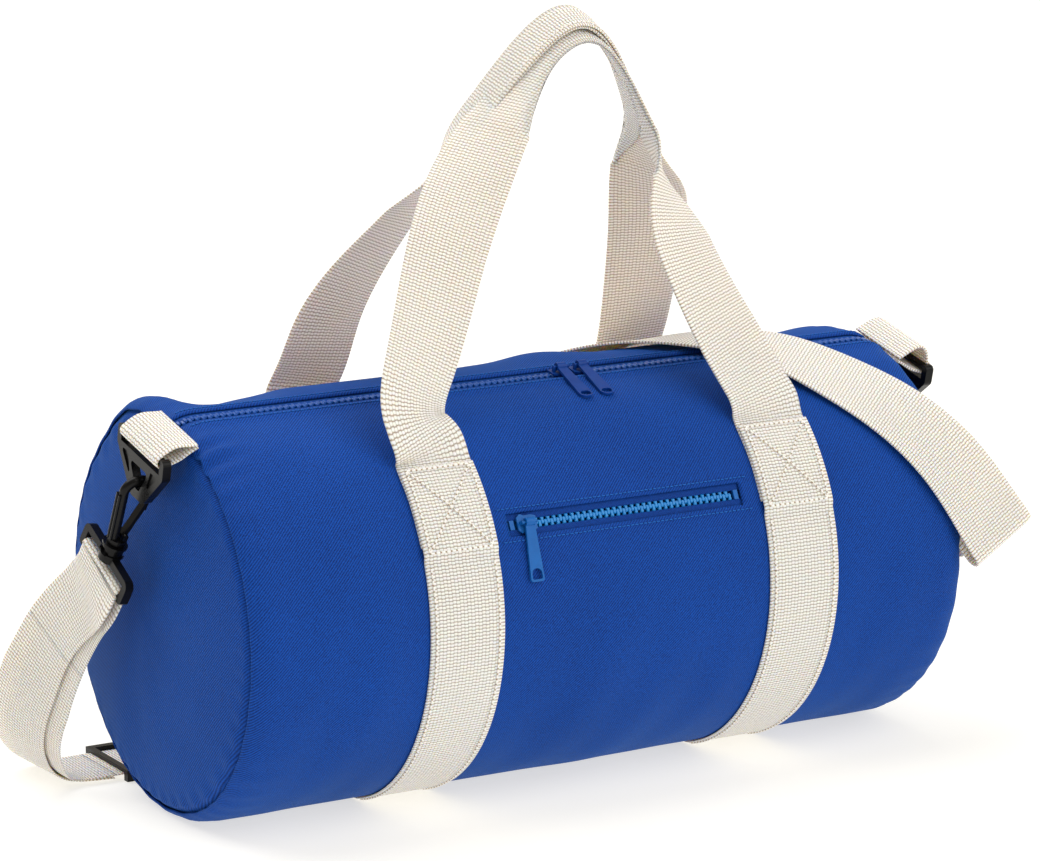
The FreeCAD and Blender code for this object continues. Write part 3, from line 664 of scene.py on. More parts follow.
@dataclass(frozen=True)
class Webbing(Finish):
    """Natural webbing with ribs across it and fine threads along it, through which light passes."""

    rib: float = 2.1
    thread: float = 2.4
    stagger: float = 0.14
    selvedge: tuple[float, float] = (2.0, 1.2)
    soil: float = 14.0
    fleck: float = 700.0
    passing: tuple[float, float, float] = (1.0, 0.7, 0.42)
    passing_depth: float = 5.0

    def build(self) -> bpy.types.Material:
        """Plain weave: |sin| ovals in lanes, every other lane a little along; ribs at the selvedge.

        Returns:
            The material.
        """
        g = Graph(self.name)
        u, v = g.cloth_place()
        lane = (u * (np.pi / self.thread)).sine()
        step = lane.math("GREATER_THAN", lane, 0.0) * (self.rib * self.stagger)
        ribs = abs(((v + step) * (np.pi / self.rib)).sine()) ** 0.8
        lines = abs((v * (np.pi / self.rib)).sine())
        edge = abs(u).rise(*(WEB_WIDTH / 2 - inset for inset in self.selvedge))
        height = ribs * (abs(lane) ** 0.3) * (1.0 - edge) + lines * edge * 0.8
        soil = g.noise(self.soil, 4.0)
        fleck = g.noise(self.fleck, 2.0)
        # Colour follows the weave's height: the grooves between the ribs and at the selvedge take
        # the dark tone as painted shade, while the soil and fleck noise are the webbing's own
        # uneven tone.
        share = height * 1.25 + soil * 0.2 + fleck * 0.3 - 0.2
        return g.surface({
            "Base Color": g.mix(share, self.dark, self.light),
            "Roughness": 0.74 + fleck * 0.2 - height * 0.06,
            "Normal": g.bump(height + fleck * 0.15, 0.7, 0.45),
            "Sheen Weight": 0.2, "Sheen Roughness": 0.5, "Specular IOR Level": 0.15,
            "Subsurface Weight": 0.62, "Subsurface Radius": self.passing,
            "Subsurface Scale": self.passing_depth * MM})


@dataclass(frozen=True)
class Moulded(Finish):
    """Moulded plastic with a fine spark-eroded grain and rubbed places."""

    roughness: float
    grain: float
    coat: float
    gloss: float

    def build(self) -> bpy.types.Material:
        """Fine noise is the grain; broad noise is the rubbed, glossier part.

        Returns:
            The material.
        """
        g = Graph(self.name)
        fine = g.noise(2600.0, 2.0)
        broad = g.noise(55.0, 4.0)
        return g.surface({
            "Base Color": g.mix(broad * 0.7 + fine * 0.3, self.dark, self.light),
            "Roughness": self.roughness + (fine - 0.5) * 0.25 + (broad - 0.5) * 0.25,
            "Normal": g.bump(fine, 0.25, self.grain),
            "Coat Weight": self.coat, "Coat Roughness": 0.2, "Specular IOR Level": self.gloss})


@dataclass(frozen=True)
class Painted(Finish):
    """Die-cast metal under coloured enamel, rubbed at random to a brighter tone."""

    def build(self) -> bpy.types.Material:
        """Broad noise mixes the tones and fine noise the gloss.

        Returns:
            The material.
        """
        g = Graph(self.name)
        fine = g.noise(1500.0, 2.0)
        broad = g.noise(120.0, 5.0, 0.6)
        return g.surface({
            "Base Color": g.mix(broad, self.dark, self.light),
            "Roughness": 0.30 + fine * 0.16,
            "Metallic": broad * 0.12,
            "Normal": g.bump(fine, 0.12, 0.05),
            "Coat Weight": 0.06, "Coat Roughness": 0.12, "Specular IOR Level": 0.18})


@dataclass(frozen=True)
class Yarn(Finish):
    """Twisted sewing thread, with the painted shade where it sinks into the cloth's holes."""

    hole_shade: Colour
    twist: float = 0.5
    slant: float = 1.2
    entry: tuple[float, float] = (0.95, 1.45)

    def build(self) -> bpy.types.Material:
        """The twist is a slanted sine along each stitch, its grooves dark as painted shade; the
        stitch's ends are painted the shade of the holes that it sinks into.

        Returns:
            The material.
        """
        g = Graph(self.name)
        u, v = g.cloth_place()
        twist = ((u * self.slant + v) * (2 * np.pi / self.twist)).sine() * 0.5 + 0.5
        tone = g.noise(60.0, 3.0)
        bright = g.mix(twist * 0.4 + tone * 0.6, self.dark, self.light)
        return g.surface({
            # The stitch's ends fade into painted shade where they sink into the holes.
            "Base Color": g.mix(abs(u).rise(*self.entry), bright, self.hole_shade),
            "Roughness": 0.6 + tone * 0.2,
            "Normal": g.bump(twist, 0.3, 0.1), "Specular IOR Level": 0.15})


@dataclass
class Finishes:
    """Every material of the bag, made once."""

    cloth: bpy.types.Material = field(init=False)
    webbing: bpy.types.Material = field(init=False)
    tape: bpy.types.Material = field(init=False)
    teeth: bpy.types.Material = field(init=False)
    metal: bpy.types.Material = field(init=False)
    plastic: bpy.types.Material = field(init=False)
    bright_teeth: bpy.types.Material = field(init=False)
    bright_metal: bpy.types.Material = field(init=False)
    cream_yarn: bpy.types.Material = field(init=False)
    blue_yarn: bpy.types.Material = field(init=False)

    def __post_init__(self) -> None:
        """Build each finish: its light tone, its dark tone and what else sets it apart."""
        # The cloth's and the tape's dark tones are partly painted shade for the grooves of the
        # twill.
        self.cloth = BagCloth("blue_polyester", (0.006, 0.077, 0.44),
                              (0.0012, 0.0145, 0.108)).build()
        # The webbing's warm dark tone is painted shade for the grooves of its weave.
        self.webbing = Webbing("natural_webbing", (0.965, 0.925, 0.87), (0.25, 0.165, 0.09)).build()
        self.tape = BagCloth("zip_tape_weave", (0.006, 0.068, 0.39), (0.0015, 0.016, 0.115),
                             pitch=1.0).build()
        self.teeth = Moulded("blue_teeth", (0.006, 0.105, 0.47), (0.003, 0.050, 0.27),
                             roughness=0.28, grain=0.04, coat=0.1, gloss=0.3).build()
        self.metal = Painted("blue_enamel", (0.004, 0.062, 0.34), (0.002, 0.028, 0.19)).build()
        self.plastic = Moulded("black_plastic", (0.006, 0.006, 0.0065), (0.002, 0.002, 0.0025),
                               roughness=0.3, grain=0.05, coat=0.14, gloss=0.1).build()
        self.bright_teeth = Moulded("bright_teeth", (0.010, 0.26, 0.66), (0.005, 0.15, 0.48),
                                    roughness=0.28, grain=0.04, coat=0.1, gloss=0.3).build()
        self.bright_metal = Painted("bright_enamel", (0.008, 0.135, 0.47),
                                    (0.004, 0.085, 0.33)).build()
        # The hole tones are painted shade where the stitches sink into the cloth.
        self.cream_yarn = Yarn("cream_thread", (1.0, 0.99, 0.97), (0.92, 0.89, 0.84),
                               hole_shade=(0.44, 0.34, 0.22)).build()
        self.blue_yarn = Yarn("blue_thread", (0.020, 0.15, 0.55), (0.010, 0.09, 0.40),
                              hole_shade=(0.001, 0.009, 0.06)).build()


def finish_piece(piece: bpy.types.Object, material: bpy.types.Material) -> bpy.types.Object:
    """Give a piece its material.

    Args:
        piece: The piece.
        material: Its material.

    Returns:
        The same piece.
    """
    piece.data.materials.clear()
    piece.data.materials.append(material)
    LOG.info("%s: %d faces", piece.name, len(piece.data.polygons))
    return piece


# ---------------------------------------------------------------- the barrel

@dataclass(frozen=True)
class Barrel:
    """The surface of the filled bag, which every sewn piece follows.

    A pair named rise, fall, calm, hold or level is where a smooth step starts and ends: lengths
    from the bag's middle, or from the band, zip or strap of that name, and for base_calm cosines.
    """

    radius: float = 126.0
    axis_z: float = 123.669
    floor_z: float = 1.8
    half_length: float = 250.0
    roll: float = 8.5
    roll_length: float = 18.0
    roll_end: float = 0.97
    dent: float = 9.0
    dent_width: float = 33.0
    dent_shift: float = 25.0
    dent_rise: tuple[float, float] = (145.0, 200.0)
    dent_fall: tuple[float, float] = (206.0, 236.0)
    crest: float = 6.0
    crest_width: float = 30.0
    crest_shift: float = 30.0
    crest_rise: tuple[float, float] = (210.0, 240.0)
    zip_level: tuple[float, float] = (9.0, 36.0)
    pucker: float = 0.3
    pucker_rise: tuple[float, float] = (214.0, 243.0)
    tug: float = 2.4
    tug_angle: float = 27.0
    tug_width: float = 26.0
    tug_length: tuple[float, float] = (4.0, 32.0)
    band_calm: tuple[float, float] = (27.0, 62.0)
    zip_calm: tuple[float, float] = (14.0, 52.0)
    zip_hold: tuple[float, float] = (14.0, 34.0)
    pocket_calm: tuple[float, float] = (36.0, 66.0)
    pocket_beside: float = 35.0
    pocket_lower: float = 8.0
    base_calm: tuple[float, float] = (-0.99, -0.78)
    end_calm: tuple[float, float] = (205.0, 238.0)
    strap_calm: tuple[float, float] = (46.0, 84.0)
    strap_from: float = -150.0
    band_places: tuple[float, float] = (-111.0, 127.0)
    main_zip: float = 10.0
    pocket_zip: float = 63.0
    pocket_ends: tuple[float, float] = (-75.0, 89.0)
    strap_path: tuple[tuple[float, ...], tuple[float, ...]] = (
        (-115.0, -72.0, -27.0, 9.0, 45.0, 76.0, 105.0, 130.0, 153.0, 183.0, 211.0, 243.0),
        (-128.0, -108.0, -85.0, -65.0, -45.0, -28.0, -12.0, 2.0, 15.0, 31.0, 47.0, 66.0))

    def normal(self, angle: Array) -> Array:
        """Direction out of the barrel."""
        turn = np.radians(angle)
        return np.stack([np.zeros_like(turn), -np.sin(turn), np.cos(turn)], axis=-1)

    def tangent(self, angle: Array) -> Array:
        """Direction round the barrel, towards the back over the top."""
        turn = np.radians(angle)
        return np.stack([np.zeros_like(turn), np.cos(turn), np.sin(turn)], axis=-1)

    def degrees(self, length: Array | float) -> Array | float:
        """Angle of a length round the barrel."""
        return np.degrees(length / self.radius)

    def arc(self, angle: Array, middle: float) -> Array:
        """Length round the barrel from a middle angle, whichever way is shorter."""
        return np.radians((angle - middle + 180.0) % 360.0 - 180.0) * self.radius

    def drop(self, x: Array) -> Array:
        """How far the cloth rolls in towards the end seams: a quarter of an ellipse."""
        t = np.clip((np.abs(x) - self.half_length + self.roll_length) / self.roll_length, 0.0, 1.0)
        return self.roll * (1.0 - np.sqrt(1.0 - self.roll_end * t * t))

    def sink(self, x: Array, angle: Array) -> Array:
        """Dip of the cloth behind the zip's left end, and a crest beside it: bells round the bag.

        Args:
            x: Places along the bag.
            angle: Angles round it.

        Returns:
            How far the cloth lies below the round barrel.
        """
        behind = ease(-self.arc(angle, self.main_zip), *self.zip_level)
        bell = np.exp(-(self.arc(angle, self.main_zip - self.dent_shift) / self.dent_width) ** 2)
        crest = np.exp(-(self.arc(angle, self.main_zip - self.crest_shift) / self.crest_width) ** 2)
        dip = hump(-x, self.dent_rise, self.dent_fall)
        return behind * (dip * self.dent * bell - self.crest * ease(-x, *self.crest_rise) * crest)

    def slack(self, x: Array, angle: Array) -> Array:
        """Waves of the loose cloth: sums of sines, calmed near bands, zips, strap, base and seams.

        Puckers run round the end seams, and a few short tugs pull at the zip's left end.

        Args:
            x: Places along the bag.
            angle: Angles round it.

        Returns:
            How far the cloth stands above the round barrel.
        """
        turn = np.radians(angle)
        off_zip = np.abs(self.arc(angle, self.main_zip))
        calm = ease(off_zip, *self.zip_calm) * (1.0 - ease(np.abs(x), *self.end_calm))
        for place in self.band_places:
            calm = calm * ease(np.abs(x - place), *self.band_calm)
        middle = sum(self.pocket_ends) / 2
        reach = self.pocket_ends[1] - middle
        beside = ease(np.abs(x - middle), reach, reach + self.pocket_beside)
        off_pocket = np.abs(self.arc(angle, self.pocket_zip + self.pocket_lower))
        near = ease(off_pocket, *self.pocket_calm)
        calm = calm * (1.0 - (1.0 - beside) * (1.0 - near)) * ease(np.cos(turn), *self.base_calm)
        crossed = np.abs(self.arc(angle, np.interp(x, *self.strap_path)))
        calm = calm * (1.0 - (1.0 - ease(crossed, *self.strap_calm)) * (x > self.strap_from))
        wave = 1.6 * np.sin(0.024 * x + 1.7 * np.sin(turn) + 0.7) * np.cos(2.0 * turn + 0.5)
        wave = wave + 1.1 * np.sin(0.05 * x - 2.0 * turn + 0.4 * np.sin(3 * turn))
        wave = wave + 0.5 * np.sin(0.12 * x + 5.0 * turn)
        pucker = self.pucker * np.sin(41.0 * turn + 2.2 * np.sin(5.0 * turn) + np.sign(x))
        pucker = pucker * ease(np.abs(x), *self.pucker_rise)
        tug_x, tug_a = x + self.half_length, self.arc(angle, self.tug_angle)
        bell = np.exp(-(tug_a / self.tug_width) ** 2) * (1.0 - ease(tug_x, *self.tug_length))
        tug = self.tug * np.sin(0.42 * tug_a + 0.05 * tug_x) * bell
        return calm * (wave + 1.2) + (pucker + tug) * ease(off_zip, *self.zip_hold)

    def unrolled(self, x: Array, angle: Array) -> Array:
        """Places on the cloth laid flat: along the bag, and round it."""
        return np.stack([x, np.radians(angle) * self.radius], axis=-1).reshape(-1, 2)

    def point(self, x: Array | float, angle: Array | float, lift: Array | float = 0.0,
              loose: bool = True) -> Array:
        """Point on the cloth, a lift off it.

        The reach is radius + lift + slack - drop - sink, and z stops at the flattened base.

        Args:
            x: Places along the bag.
            angle: Angles round it.
            lift: Heights above the cloth.
            loose: Whether the waves of the loose cloth count.

        Returns:
            The points.
        """
        parts = (np.asarray(part, float) for part in (x, angle, lift))
        x, angle, lift = np.broadcast_arrays(*parts)
        reach = self.radius + lift - self.drop(x) - self.sink(x, angle)
        if loose:
            reach = reach + self.slack(x, angle)
        turn = np.radians(angle)
        z = np.maximum(self.axis_z + reach * np.cos(turn), self.floor_z - lift)
        return np.stack([x, -reach * np.sin(turn), z], axis=-1)


def solid(piece: bpy.types.Object, thickness: float) -> bpy.types.Object:
    """Give a surface its cloth thickness, inwards, with a live Solidify.

    Args:
        piece: The surface.
        thickness: The cloth's thickness.

    Returns:
        The same piece.
    """
    wall = piece.modifiers.new("thickness", "SOLIDIFY")
    wall.thickness = thickness * MM
    wall.offset = -1.0
    wall.use_even_offset = False
    return piece


@dataclass
class Shell:
    """The wrap, the two end panels, the bindings of their seams and the pocket's lining.

    Steps are lengths from an edge to each line of the grid. A pair named rise or fall is where a
    smooth step starts and ends: lengths from an edge, and on the end panels shares of the radius.
    """

    barrel: Barrel
    fabric: float = 1.2
    window: float = 14.0
    even_reach: float = 234.0
    even_grid: tuple[int, int] = (136, 214)
    end_steps: tuple[float, ...] = (13.0, 9.0, 5.5, 3.0, 1.4, 0.5, 0.1)
    hem_steps: tuple[float, ...] = (0.0, 0.35, 0.9, 2.0, 4.0, 6.0, 8.0)
    slit_steps: tuple[float, ...] = (0.0, 0.25, 1.2)
    hem: float = 0.9
    hem_rise: tuple[float, float] = (-0.5, 1.2)
    hem_fall: tuple[float, float] = (4.5, 8.0)
    hem_tuck: float = 0.7
    slit_hem: float = 0.8
    slit_rise: tuple[float, float] = (-0.3, 1.0)
    slit_fall: tuple[float, float] = (4.0, 7.5)
    end_dome: float = 9.0
    end_sag: float = 0.22
    end_seat: float = 1.0
    rim_roll: float = 0.83
    rim_gap: float = 0.3
    base_gap: float = 0.4
    base_rise: float = 20.0
    weave_shift: float = 7.0
    pucker: float = 0.5
    pucker_rise: tuple[float, float] = (0.86, 0.95)
    pucker_fall: tuple[float, float] = (0.97, 1.0)
    tuck: float = 4.2
    tuck_rise: tuple[float, float] = (0.945, 1.0)
    binding_width: float = 10.0
    binding_inset: float = 8.5
    binding_depth: float = 4.4
    binding_roll: float = 0.35
    binding_span: tuple[float, float] = (9.0, 351.0)
    pocket_gap: float = 1.5
    pocket_depth: float = 10.0
    pocket_span: tuple[float, float] = (54.0, 118.0)
    pocket_room: tuple[float, float] = (-84.0, 98.0)
    pocket_grid: tuple[int, int] = (40, 36)

    def wrap(self) -> bpy.types.Object:
        """Sheet round the barrel between the main zip's edges, open over the pocket zip.

        Its grid is closer at the ends and the zips, and a hem stands up along both zips by a
        smooth rise and fall.

        Returns:
            The piece.
        """
        b = self.barrel
        half = b.degrees(self.window / 2)
        ends = np.array(self.end_steps)
        even = np.linspace(-self.even_reach, self.even_reach, self.even_grid[0])
        x = np.concatenate([-b.half_length + ends[::-1], even, b.half_length - ends])
        x = np.unique(np.concatenate([x, b.pocket_ends]))
        hems = np.array(self.hem_steps) * b.degrees(1.0)
        first, last = b.main_zip + half, b.main_zip + 360.0 - half
        around = np.linspace(first + hems[-1], last - hems[-1], self.even_grid[1])
        pocket = [b.pocket_zip + way * (half + step) for way in (-1, 1) for step in self.slit_steps]
        angle = np.unique(np.concatenate([first + hems, around, last - hems, pocket]))
        xx, aa = np.meshgrid(x, angle, indexing="ij")
        edge = np.minimum(aa - first, last - aa) / b.degrees(1.0)
        lip = self.hem * hump(edge, self.hem_rise, self.hem_fall)
        lip = lip - self.hem_tuck * (1.0 - ease(edge, 0.0, 1.0))
        gap = np.maximum(np.maximum(b.pocket_ends[0] - xx, xx - b.pocket_ends[1]),
                         (np.abs(aa - b.pocket_zip) - half) / b.degrees(1.0))
        lip = lip + self.slit_hem * hump(gap, self.slit_rise, self.slit_fall)
        points = b.point(xx, aa, lip)
        faces = grid_faces(len(x), len(angle))
        middle_x, middle_a = (part.ravel()[faces].mean(axis=1) for part in (xx, aa))
        cut = ((middle_x > b.pocket_ends[0]) & (middle_x < b.pocket_ends[1])
               & (np.abs(middle_a - b.pocket_zip) < half))
        piece = make_piece("wrap", points.reshape(-1, 3), faces[~cut][:, ::-1].tolist(),
                           b.unrolled(xx, aa))
        return solid(piece, self.fabric)

    def end_panel(self, end: End) -> bpy.types.Object:
        """Round panel: dome 1 - s^2.6 with soft creases, its rim tucked into the seam with puckers.

        Args:
            end: The bag's end.

        Returns:
            The piece.
        """
        b = self.barrel
        share = np.concatenate([[0.004], np.linspace(0.03, 0.86, 30), np.linspace(0.875, 1.0, 16)])
        angle = np.linspace(0.0, 360.0, 240, endpoint=False)
        ss, aa = np.meshgrid(share, angle, indexing="ij")
        turn = np.radians(aa)
        rim = b.radius - self.rim_roll * b.roll + self.rim_gap
        reach = ss * (rim - b.sink(end.value * b.half_length, aa) * ss ** 3)
        base = b.floor_z + self.base_gap + (1.0 - ss) * self.base_rise
        z = np.maximum(b.axis_z + reach * np.cos(turn), base)
        dome = self.end_dome * (1.0 - ss ** 2.6) * (1.0 - self.end_sag * np.cos(turn) * ss)
        crease = 0.9 * np.sin(3.0 * turn + 1.1 * end.value + 2.0 * ss) * ss * (1.0 - ss)
        crease = crease + 0.7 * np.sin(8.0 * turn + 5.0 * ss) * ss ** 2 * (1.0 - ss ** 4)
        pucker = self.pucker * np.sin(43.0 * turn + 2.4 * np.sin(4.0 * turn))
        pucker = pucker * hump(ss, self.pucker_rise, self.pucker_fall)
        tuck = self.tuck * ease(ss, *self.tuck_rise) ** 2
        x = end.value * (b.half_length + self.end_seat + dome + crease + pucker - tuck)
        points = np.stack([x, -reach * np.sin(turn), z], axis=-1)
        faces = grid_faces(len(share), len(angle), True)[:, ::end.value]
        hub = np.arange(len(angle))[::end.value]
        uv = points[..., 1:].reshape(-1, 2) + self.weave_shift
        piece = make_piece(f"{end.word}_end", points.reshape(-1, 3),
                           faces.tolist() + [hub.tolist()], uv)
        return solid(piece, self.fabric)

    def binding(self, end: End) -> bpy.types.Object:
        """Tape bound round the inside of an end seam, carried along a ring inside the barrel.

        Args:
            end: The bag's end.

        Returns:
            The piece.
        """
        b = self.barrel
        angle = np.linspace(*(b.main_zip + step for step in self.binding_span), 160)
        x = end.value * (b.half_length - self.binding_inset)
        centre = b.point(x, angle, -self.binding_depth - b.roll * self.binding_roll, False)
        strip = Strip.through(centre, X_DIR)
        return ribbon(f"{end.word}_binding", strip, self.binding_width, self.fabric)

    def lining(self) -> bpy.types.Object:
        """Pocket bag behind the wrap: a sheet that bellies in by sin(pi u)^1/2 sin(pi v)^1/2.

        Returns:
            The piece.
        """
        b = self.barrel
        u, v = np.meshgrid(*(np.linspace(0.0, 1.0, count) for count in self.pocket_grid),
                           indexing="ij")
        x = self.pocket_room[0] + u * (self.pocket_room[1] - self.pocket_room[0])
        angle = self.pocket_span[0] + v * (self.pocket_span[1] - self.pocket_span[0])
        belly = np.sqrt(np.sin(np.pi * u).clip(0) * np.sin(np.pi * v).clip(0))
        points = b.point(x, angle, -self.pocket_gap - self.pocket_depth * belly, False)
        faces = grid_faces(*self.pocket_grid)[:, ::-1].tolist()
        piece = make_piece("pocket_lining", points.reshape(-1, 3), faces, b.unrolled(x, angle))
        return solid(piece, self.fabric)

    def dress(self, finishes: Finishes) -> None:
        """Build the shell's pieces and give them their cloth.

        Args:
            finishes: The bag's materials.
        """
        wrap = finish_piece(self.wrap(), finishes.cloth)
        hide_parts("barrel_wrap")
        lining = finish_piece(self.lining(), finishes.cloth)
        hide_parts("pocket_bag")
        pieces = [wrap, lining]
        for end in End:
            panel = finish_piece(self.end_panel(end), finishes.cloth)
            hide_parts(f"{end.word}_end_panel")
            binding = finish_piece(self.binding(end), finishes.tape)
            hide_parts(f"{end.word}_seam_binding")
            pieces += [panel, binding]
        for piece in pieces:
            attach(piece, "bag")


# ---------------------------------------------------------------- zips

@dataclass
class Zip:
    """One zip: two tapes, two rows of moulded teeth and the stitches beside them.

    Halves and depths outline a tooth at its foot, neck, head and tip.
    """

    barrel: Barrel
    name: str
    sides: tuple[str, str]
    angle: float
    span: tuple[float, float]
    chains: tuple[tuple[float, float], ...]
    tape_width: float = 15.0
    tape: float = 0.8
    tape_top: float = -1.4
    foot: float = 2.9
    foot_gap: float = 0.05
    pitch: float = 4.2
    head: float = 2.2
    thickness: float = 2.6
    seat: float = 0.3
    halves: tuple[float, ...] = (1.15, 0.85, 1.15, 0.75)
    depths: tuple[float, ...] = (2.9, 1.2, -0.4, -1.3)
    crown: float = 0.7
    crown_size: float = 0.72

    def row(self, places: Array, lateral: float, lift: float) -> Strip:
        """Line along the zip, a step across it and a lift off the cloth.

        Args:
            places: Places along the bag.
            lateral: The step across, towards the back.
            lift: The height above the cloth.

        Returns:
            The strip, whose width direction goes round the barrel.
        """
        b = self.barrel
        angle = np.full_like(places, self.angle - b.degrees(lateral))
        return Strip.through(b.point(places, angle, lift, False), b.tangent(angle))

    def tape_piece(self, name: str, side: int) -> bpy.types.Object:
        """Tape whose edge carries the teeth: a flat band along the zip.

        Args:
            name: The piece's name.
            side: 1 for the tape towards the back, -1 for the other.

        Returns:
            The piece.
        """
        lateral = side * (self.foot + self.foot_gap + self.tape_width / 2)
        strip = self.row(np.linspace(*self.span, 120), lateral, self.tape_top - self.tape / 2)
        return ribbon(name, strip, self.tape_width, self.tape)

    def tooth(self, side: int) -> tuple[Array, list[list[int]]]:
        """Moulded tooth: foot, neck, head and tip outline in three rings, the top one drawn in.

        Args:
            side: 1 for a tooth of the row towards the back, -1 for the other.

        Returns:
            The points, and the corners of each face.
        """
        half, depth = np.array(self.halves), np.array(self.depths) * side
        flat = np.stack([np.concatenate([half, -half[::-1]]),
                         np.concatenate([depth, depth[::-1]])], axis=-1)
        middle = np.array([0.0, depth.mean()])
        top, count = self.thickness / 2, len(flat)
        levels = ((-top, 1.0), (top - self.crown, 1.0), (top, self.crown_size))
        rings = [np.column_stack([middle + (flat - middle) * size, np.full(count, z)])
                 for z, size in levels]
        foot, last = list(range(count)), count * (len(levels) - 1)
        faces = grid_faces(len(levels), count, True).tolist()
        faces += [foot, [last + corner for corner in foot[::-1]]]
        return np.concatenate(rings), [face[::-side] for face in faces]

    def teeth_piece(self, name: str, side: int) -> bpy.types.Object:
        """Row of teeth at equal steps; the back row sits half a pitch along.

        Args:
            name: The piece's name.
            side: 1 for the row towards the back, -1 for the other.

        Returns:
            The piece.
        """
        offset = self.pitch / 2 if side > 0 else 0.0
        rows = [np.arange(start + self.head / 2 + offset, end - self.head / 2, self.pitch)
                for start, end in self.chains]
        lift = self.tape_top - self.tape / 2 + self.seat
        strip = self.row(np.concatenate(rows), 0.0, lift)
        axes = np.stack([np.cross(strip.side, strip.face), strip.side, strip.face], axis=1)
        return repeated(name, *self.tooth(side), strip.centre, axes)

    def seams(self, laterals: tuple[float, ...], ends: tuple[float, float],
              lift: float) -> list[Row]:
        """Rows of stitches along the zip.

        Args:
            laterals: A step across the zip for each row.
            ends: Where the rows start and end along the bag.
            lift: Their height above the cloth.

        Returns:
            For each row, its places and the outward direction at each.
        """
        b = self.barrel
        places = np.linspace(*ends, 150)
        angles = [np.full_like(places, self.angle - b.degrees(lateral)) for lateral in laterals]
        return [(b.point(places, angle, lift), b.normal(angle)) for angle in angles]

    def colour(self, finishes: Finishes) -> bpy.types.Material:
        """The pocket's teeth are brighter than the main zip's."""
        return finishes.bright_teeth if self.name.startswith("pocket") else finishes.teeth

    def dress(self, finishes: Finishes) -> None:
        """Build and finish the tapes and teeth.

        Args:
            finishes: The bag's materials.
        """
        for word, side in zip(self.sides, (-1, 1)):
            tape = finish_piece(self.tape_piece(f"{self.name}_tape_edge_{word}", side),
                                finishes.tape)
            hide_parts(f"{self.name}_tape_{word}")
            teeth = finish_piece(self.teeth_piece(f"{self.name}_chain_{word}", side),
                                 self.colour(finishes))
            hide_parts(f"{self.name}_teeth_{word}")
            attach(tape, "bag")
            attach(teeth, "bag")


# ---------------------------------------------------------------- bands and handles

@dataclass
class Bands:
    """Two webbing bands under the barrel, lapped over the handle ends in sewn boxes."""

    barrel: Barrel
    width: float = WEB_WIDTH
    webbing: float = WEB_THICKNESS
    box_top: float = 43.5
    box_bottom: float = 68.06
    box_end: float = 70.4
    box_rows: tuple[float, float] = (2.2, 53.5)
    lap_lift: float = 2.8
    band_lift: float = 1.0
    inset: float = 3.6
    box_gap: float = 0.12
    row_gap: float = 0.1
    row_start: float = 1.0
    close_to: float = 74.0
    even_from: float = 75.0

    def lift(self, angle: Array) -> Array:
        """Height of the band's middle: over the handle end in the box, then down on the cloth."""
        lapped = 1.0 - ease(np.abs(angle), self.box_bottom, self.box_end)
        return self.band_lift + (self.lap_lift - self.band_lift) * lapped

    def band(self, name: str, place: float) -> bpy.types.Object:
        """Band from the front box under the bag to the back box, carried round the barrel.

        Args:
            name: The piece's name.
            place: Its place along the bag.

        Returns:
            The piece.
        """
        close = np.linspace(self.box_top, self.close_to, 40)
        even = np.linspace(self.even_from, 360.0 - self.even_from, 150)
        far = np.linspace(360.0 - self.close_to, 360.0 - self.box_top, 40)
        angle = np.concatenate([close, even, far])
        signed = (angle + 180.0) % 360.0 - 180.0
        centre = self.barrel.point(place, angle, self.lift(signed), False)
        return ribbon(name, Strip.through(centre, X_DIR), self.width, self.webbing)

    def on_box(self, place: float, sign: int, across: Array, down: Array) -> Row:
        """Line on a box's top face.

        Args:
            place: The band's place along the bag.
            sign: 1 for the front box, -1 for the back one.
            across: Steps across the band.
            down: Lengths down from the box's top.

        Returns:
            The places, and the outward direction at each.
        """
        angle = sign * (self.box_top + self.barrel.degrees(down))
        lift = self.lap_lift + self.webbing / 2 + self.box_gap
        return self.barrel.point(place + across, angle, lift, False), self.barrel.normal(angle)

    def stitch_rows(self, place: float) -> list[Row]:
        """Edge rows of a band, and the crossed box at each of its ends: straight lines on the band.

        Args:
            place: The band's place along the bag.

        Returns:
            For each row, its places and the outward direction at each.
        """
        near = self.width / 2 - self.inset
        first, last = self.box_end + self.row_start, 360.0 - self.box_end - self.row_start
        angle = np.linspace(first, last, 260)
        lift = self.band_lift + self.webbing / 2 + self.row_gap
        rows = [(self.barrel.point(place + across, angle, lift, False), self.barrel.normal(angle))
                for across in (-near, near)]
        t = np.linspace(0.0, 1.0, 24)
        top, foot = self.box_rows
        wide, tall, still = near * (2 * t - 1), top + (foot - top) * t, np.ones_like(t)
        lines = ((wide, still * top), (wide, still * foot), (still * near, tall),
                 (still * -near, tall), (wide, tall), (-wide, tall))
        return rows + [self.on_box(place, sign, *line) for sign in (1, -1) for line in lines]

    def dress(self, finishes: Finishes) -> None:
        """Build the bands and their stitches.

        Args:
            finishes: The bag's materials.
        """
        for end, place in zip(End, self.barrel.band_places):
            band = finish_piece(self.band(f"{end.word}_webbing_band", place), finishes.webbing)
            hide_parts(f"{end.word}_band")
            sewn = finish_piece(Thread().sew(f"{end.word}_band_stitches", self.stitch_rows(place)),
                                finishes.cream_yarn)
            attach(band, "bag")
            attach(sewn, "bag")


@dataclass(frozen=True)
class Leg:
    """A handle's leg: shares of its rise, run and lean at a few stations, and its twist there."""

    heights: tuple[float, ...] = (0.04, 0.11, 0.28, 0.62)
    insets: tuple[float, ...] = (0.0, 0.02, 0.1, 0.4)
    leans: tuple[float, ...] = (0.02, 0.09, 0.26, 0.6)
    turns: tuple[float, ...] = (0.0, 0.0, 6.0, 24.0)


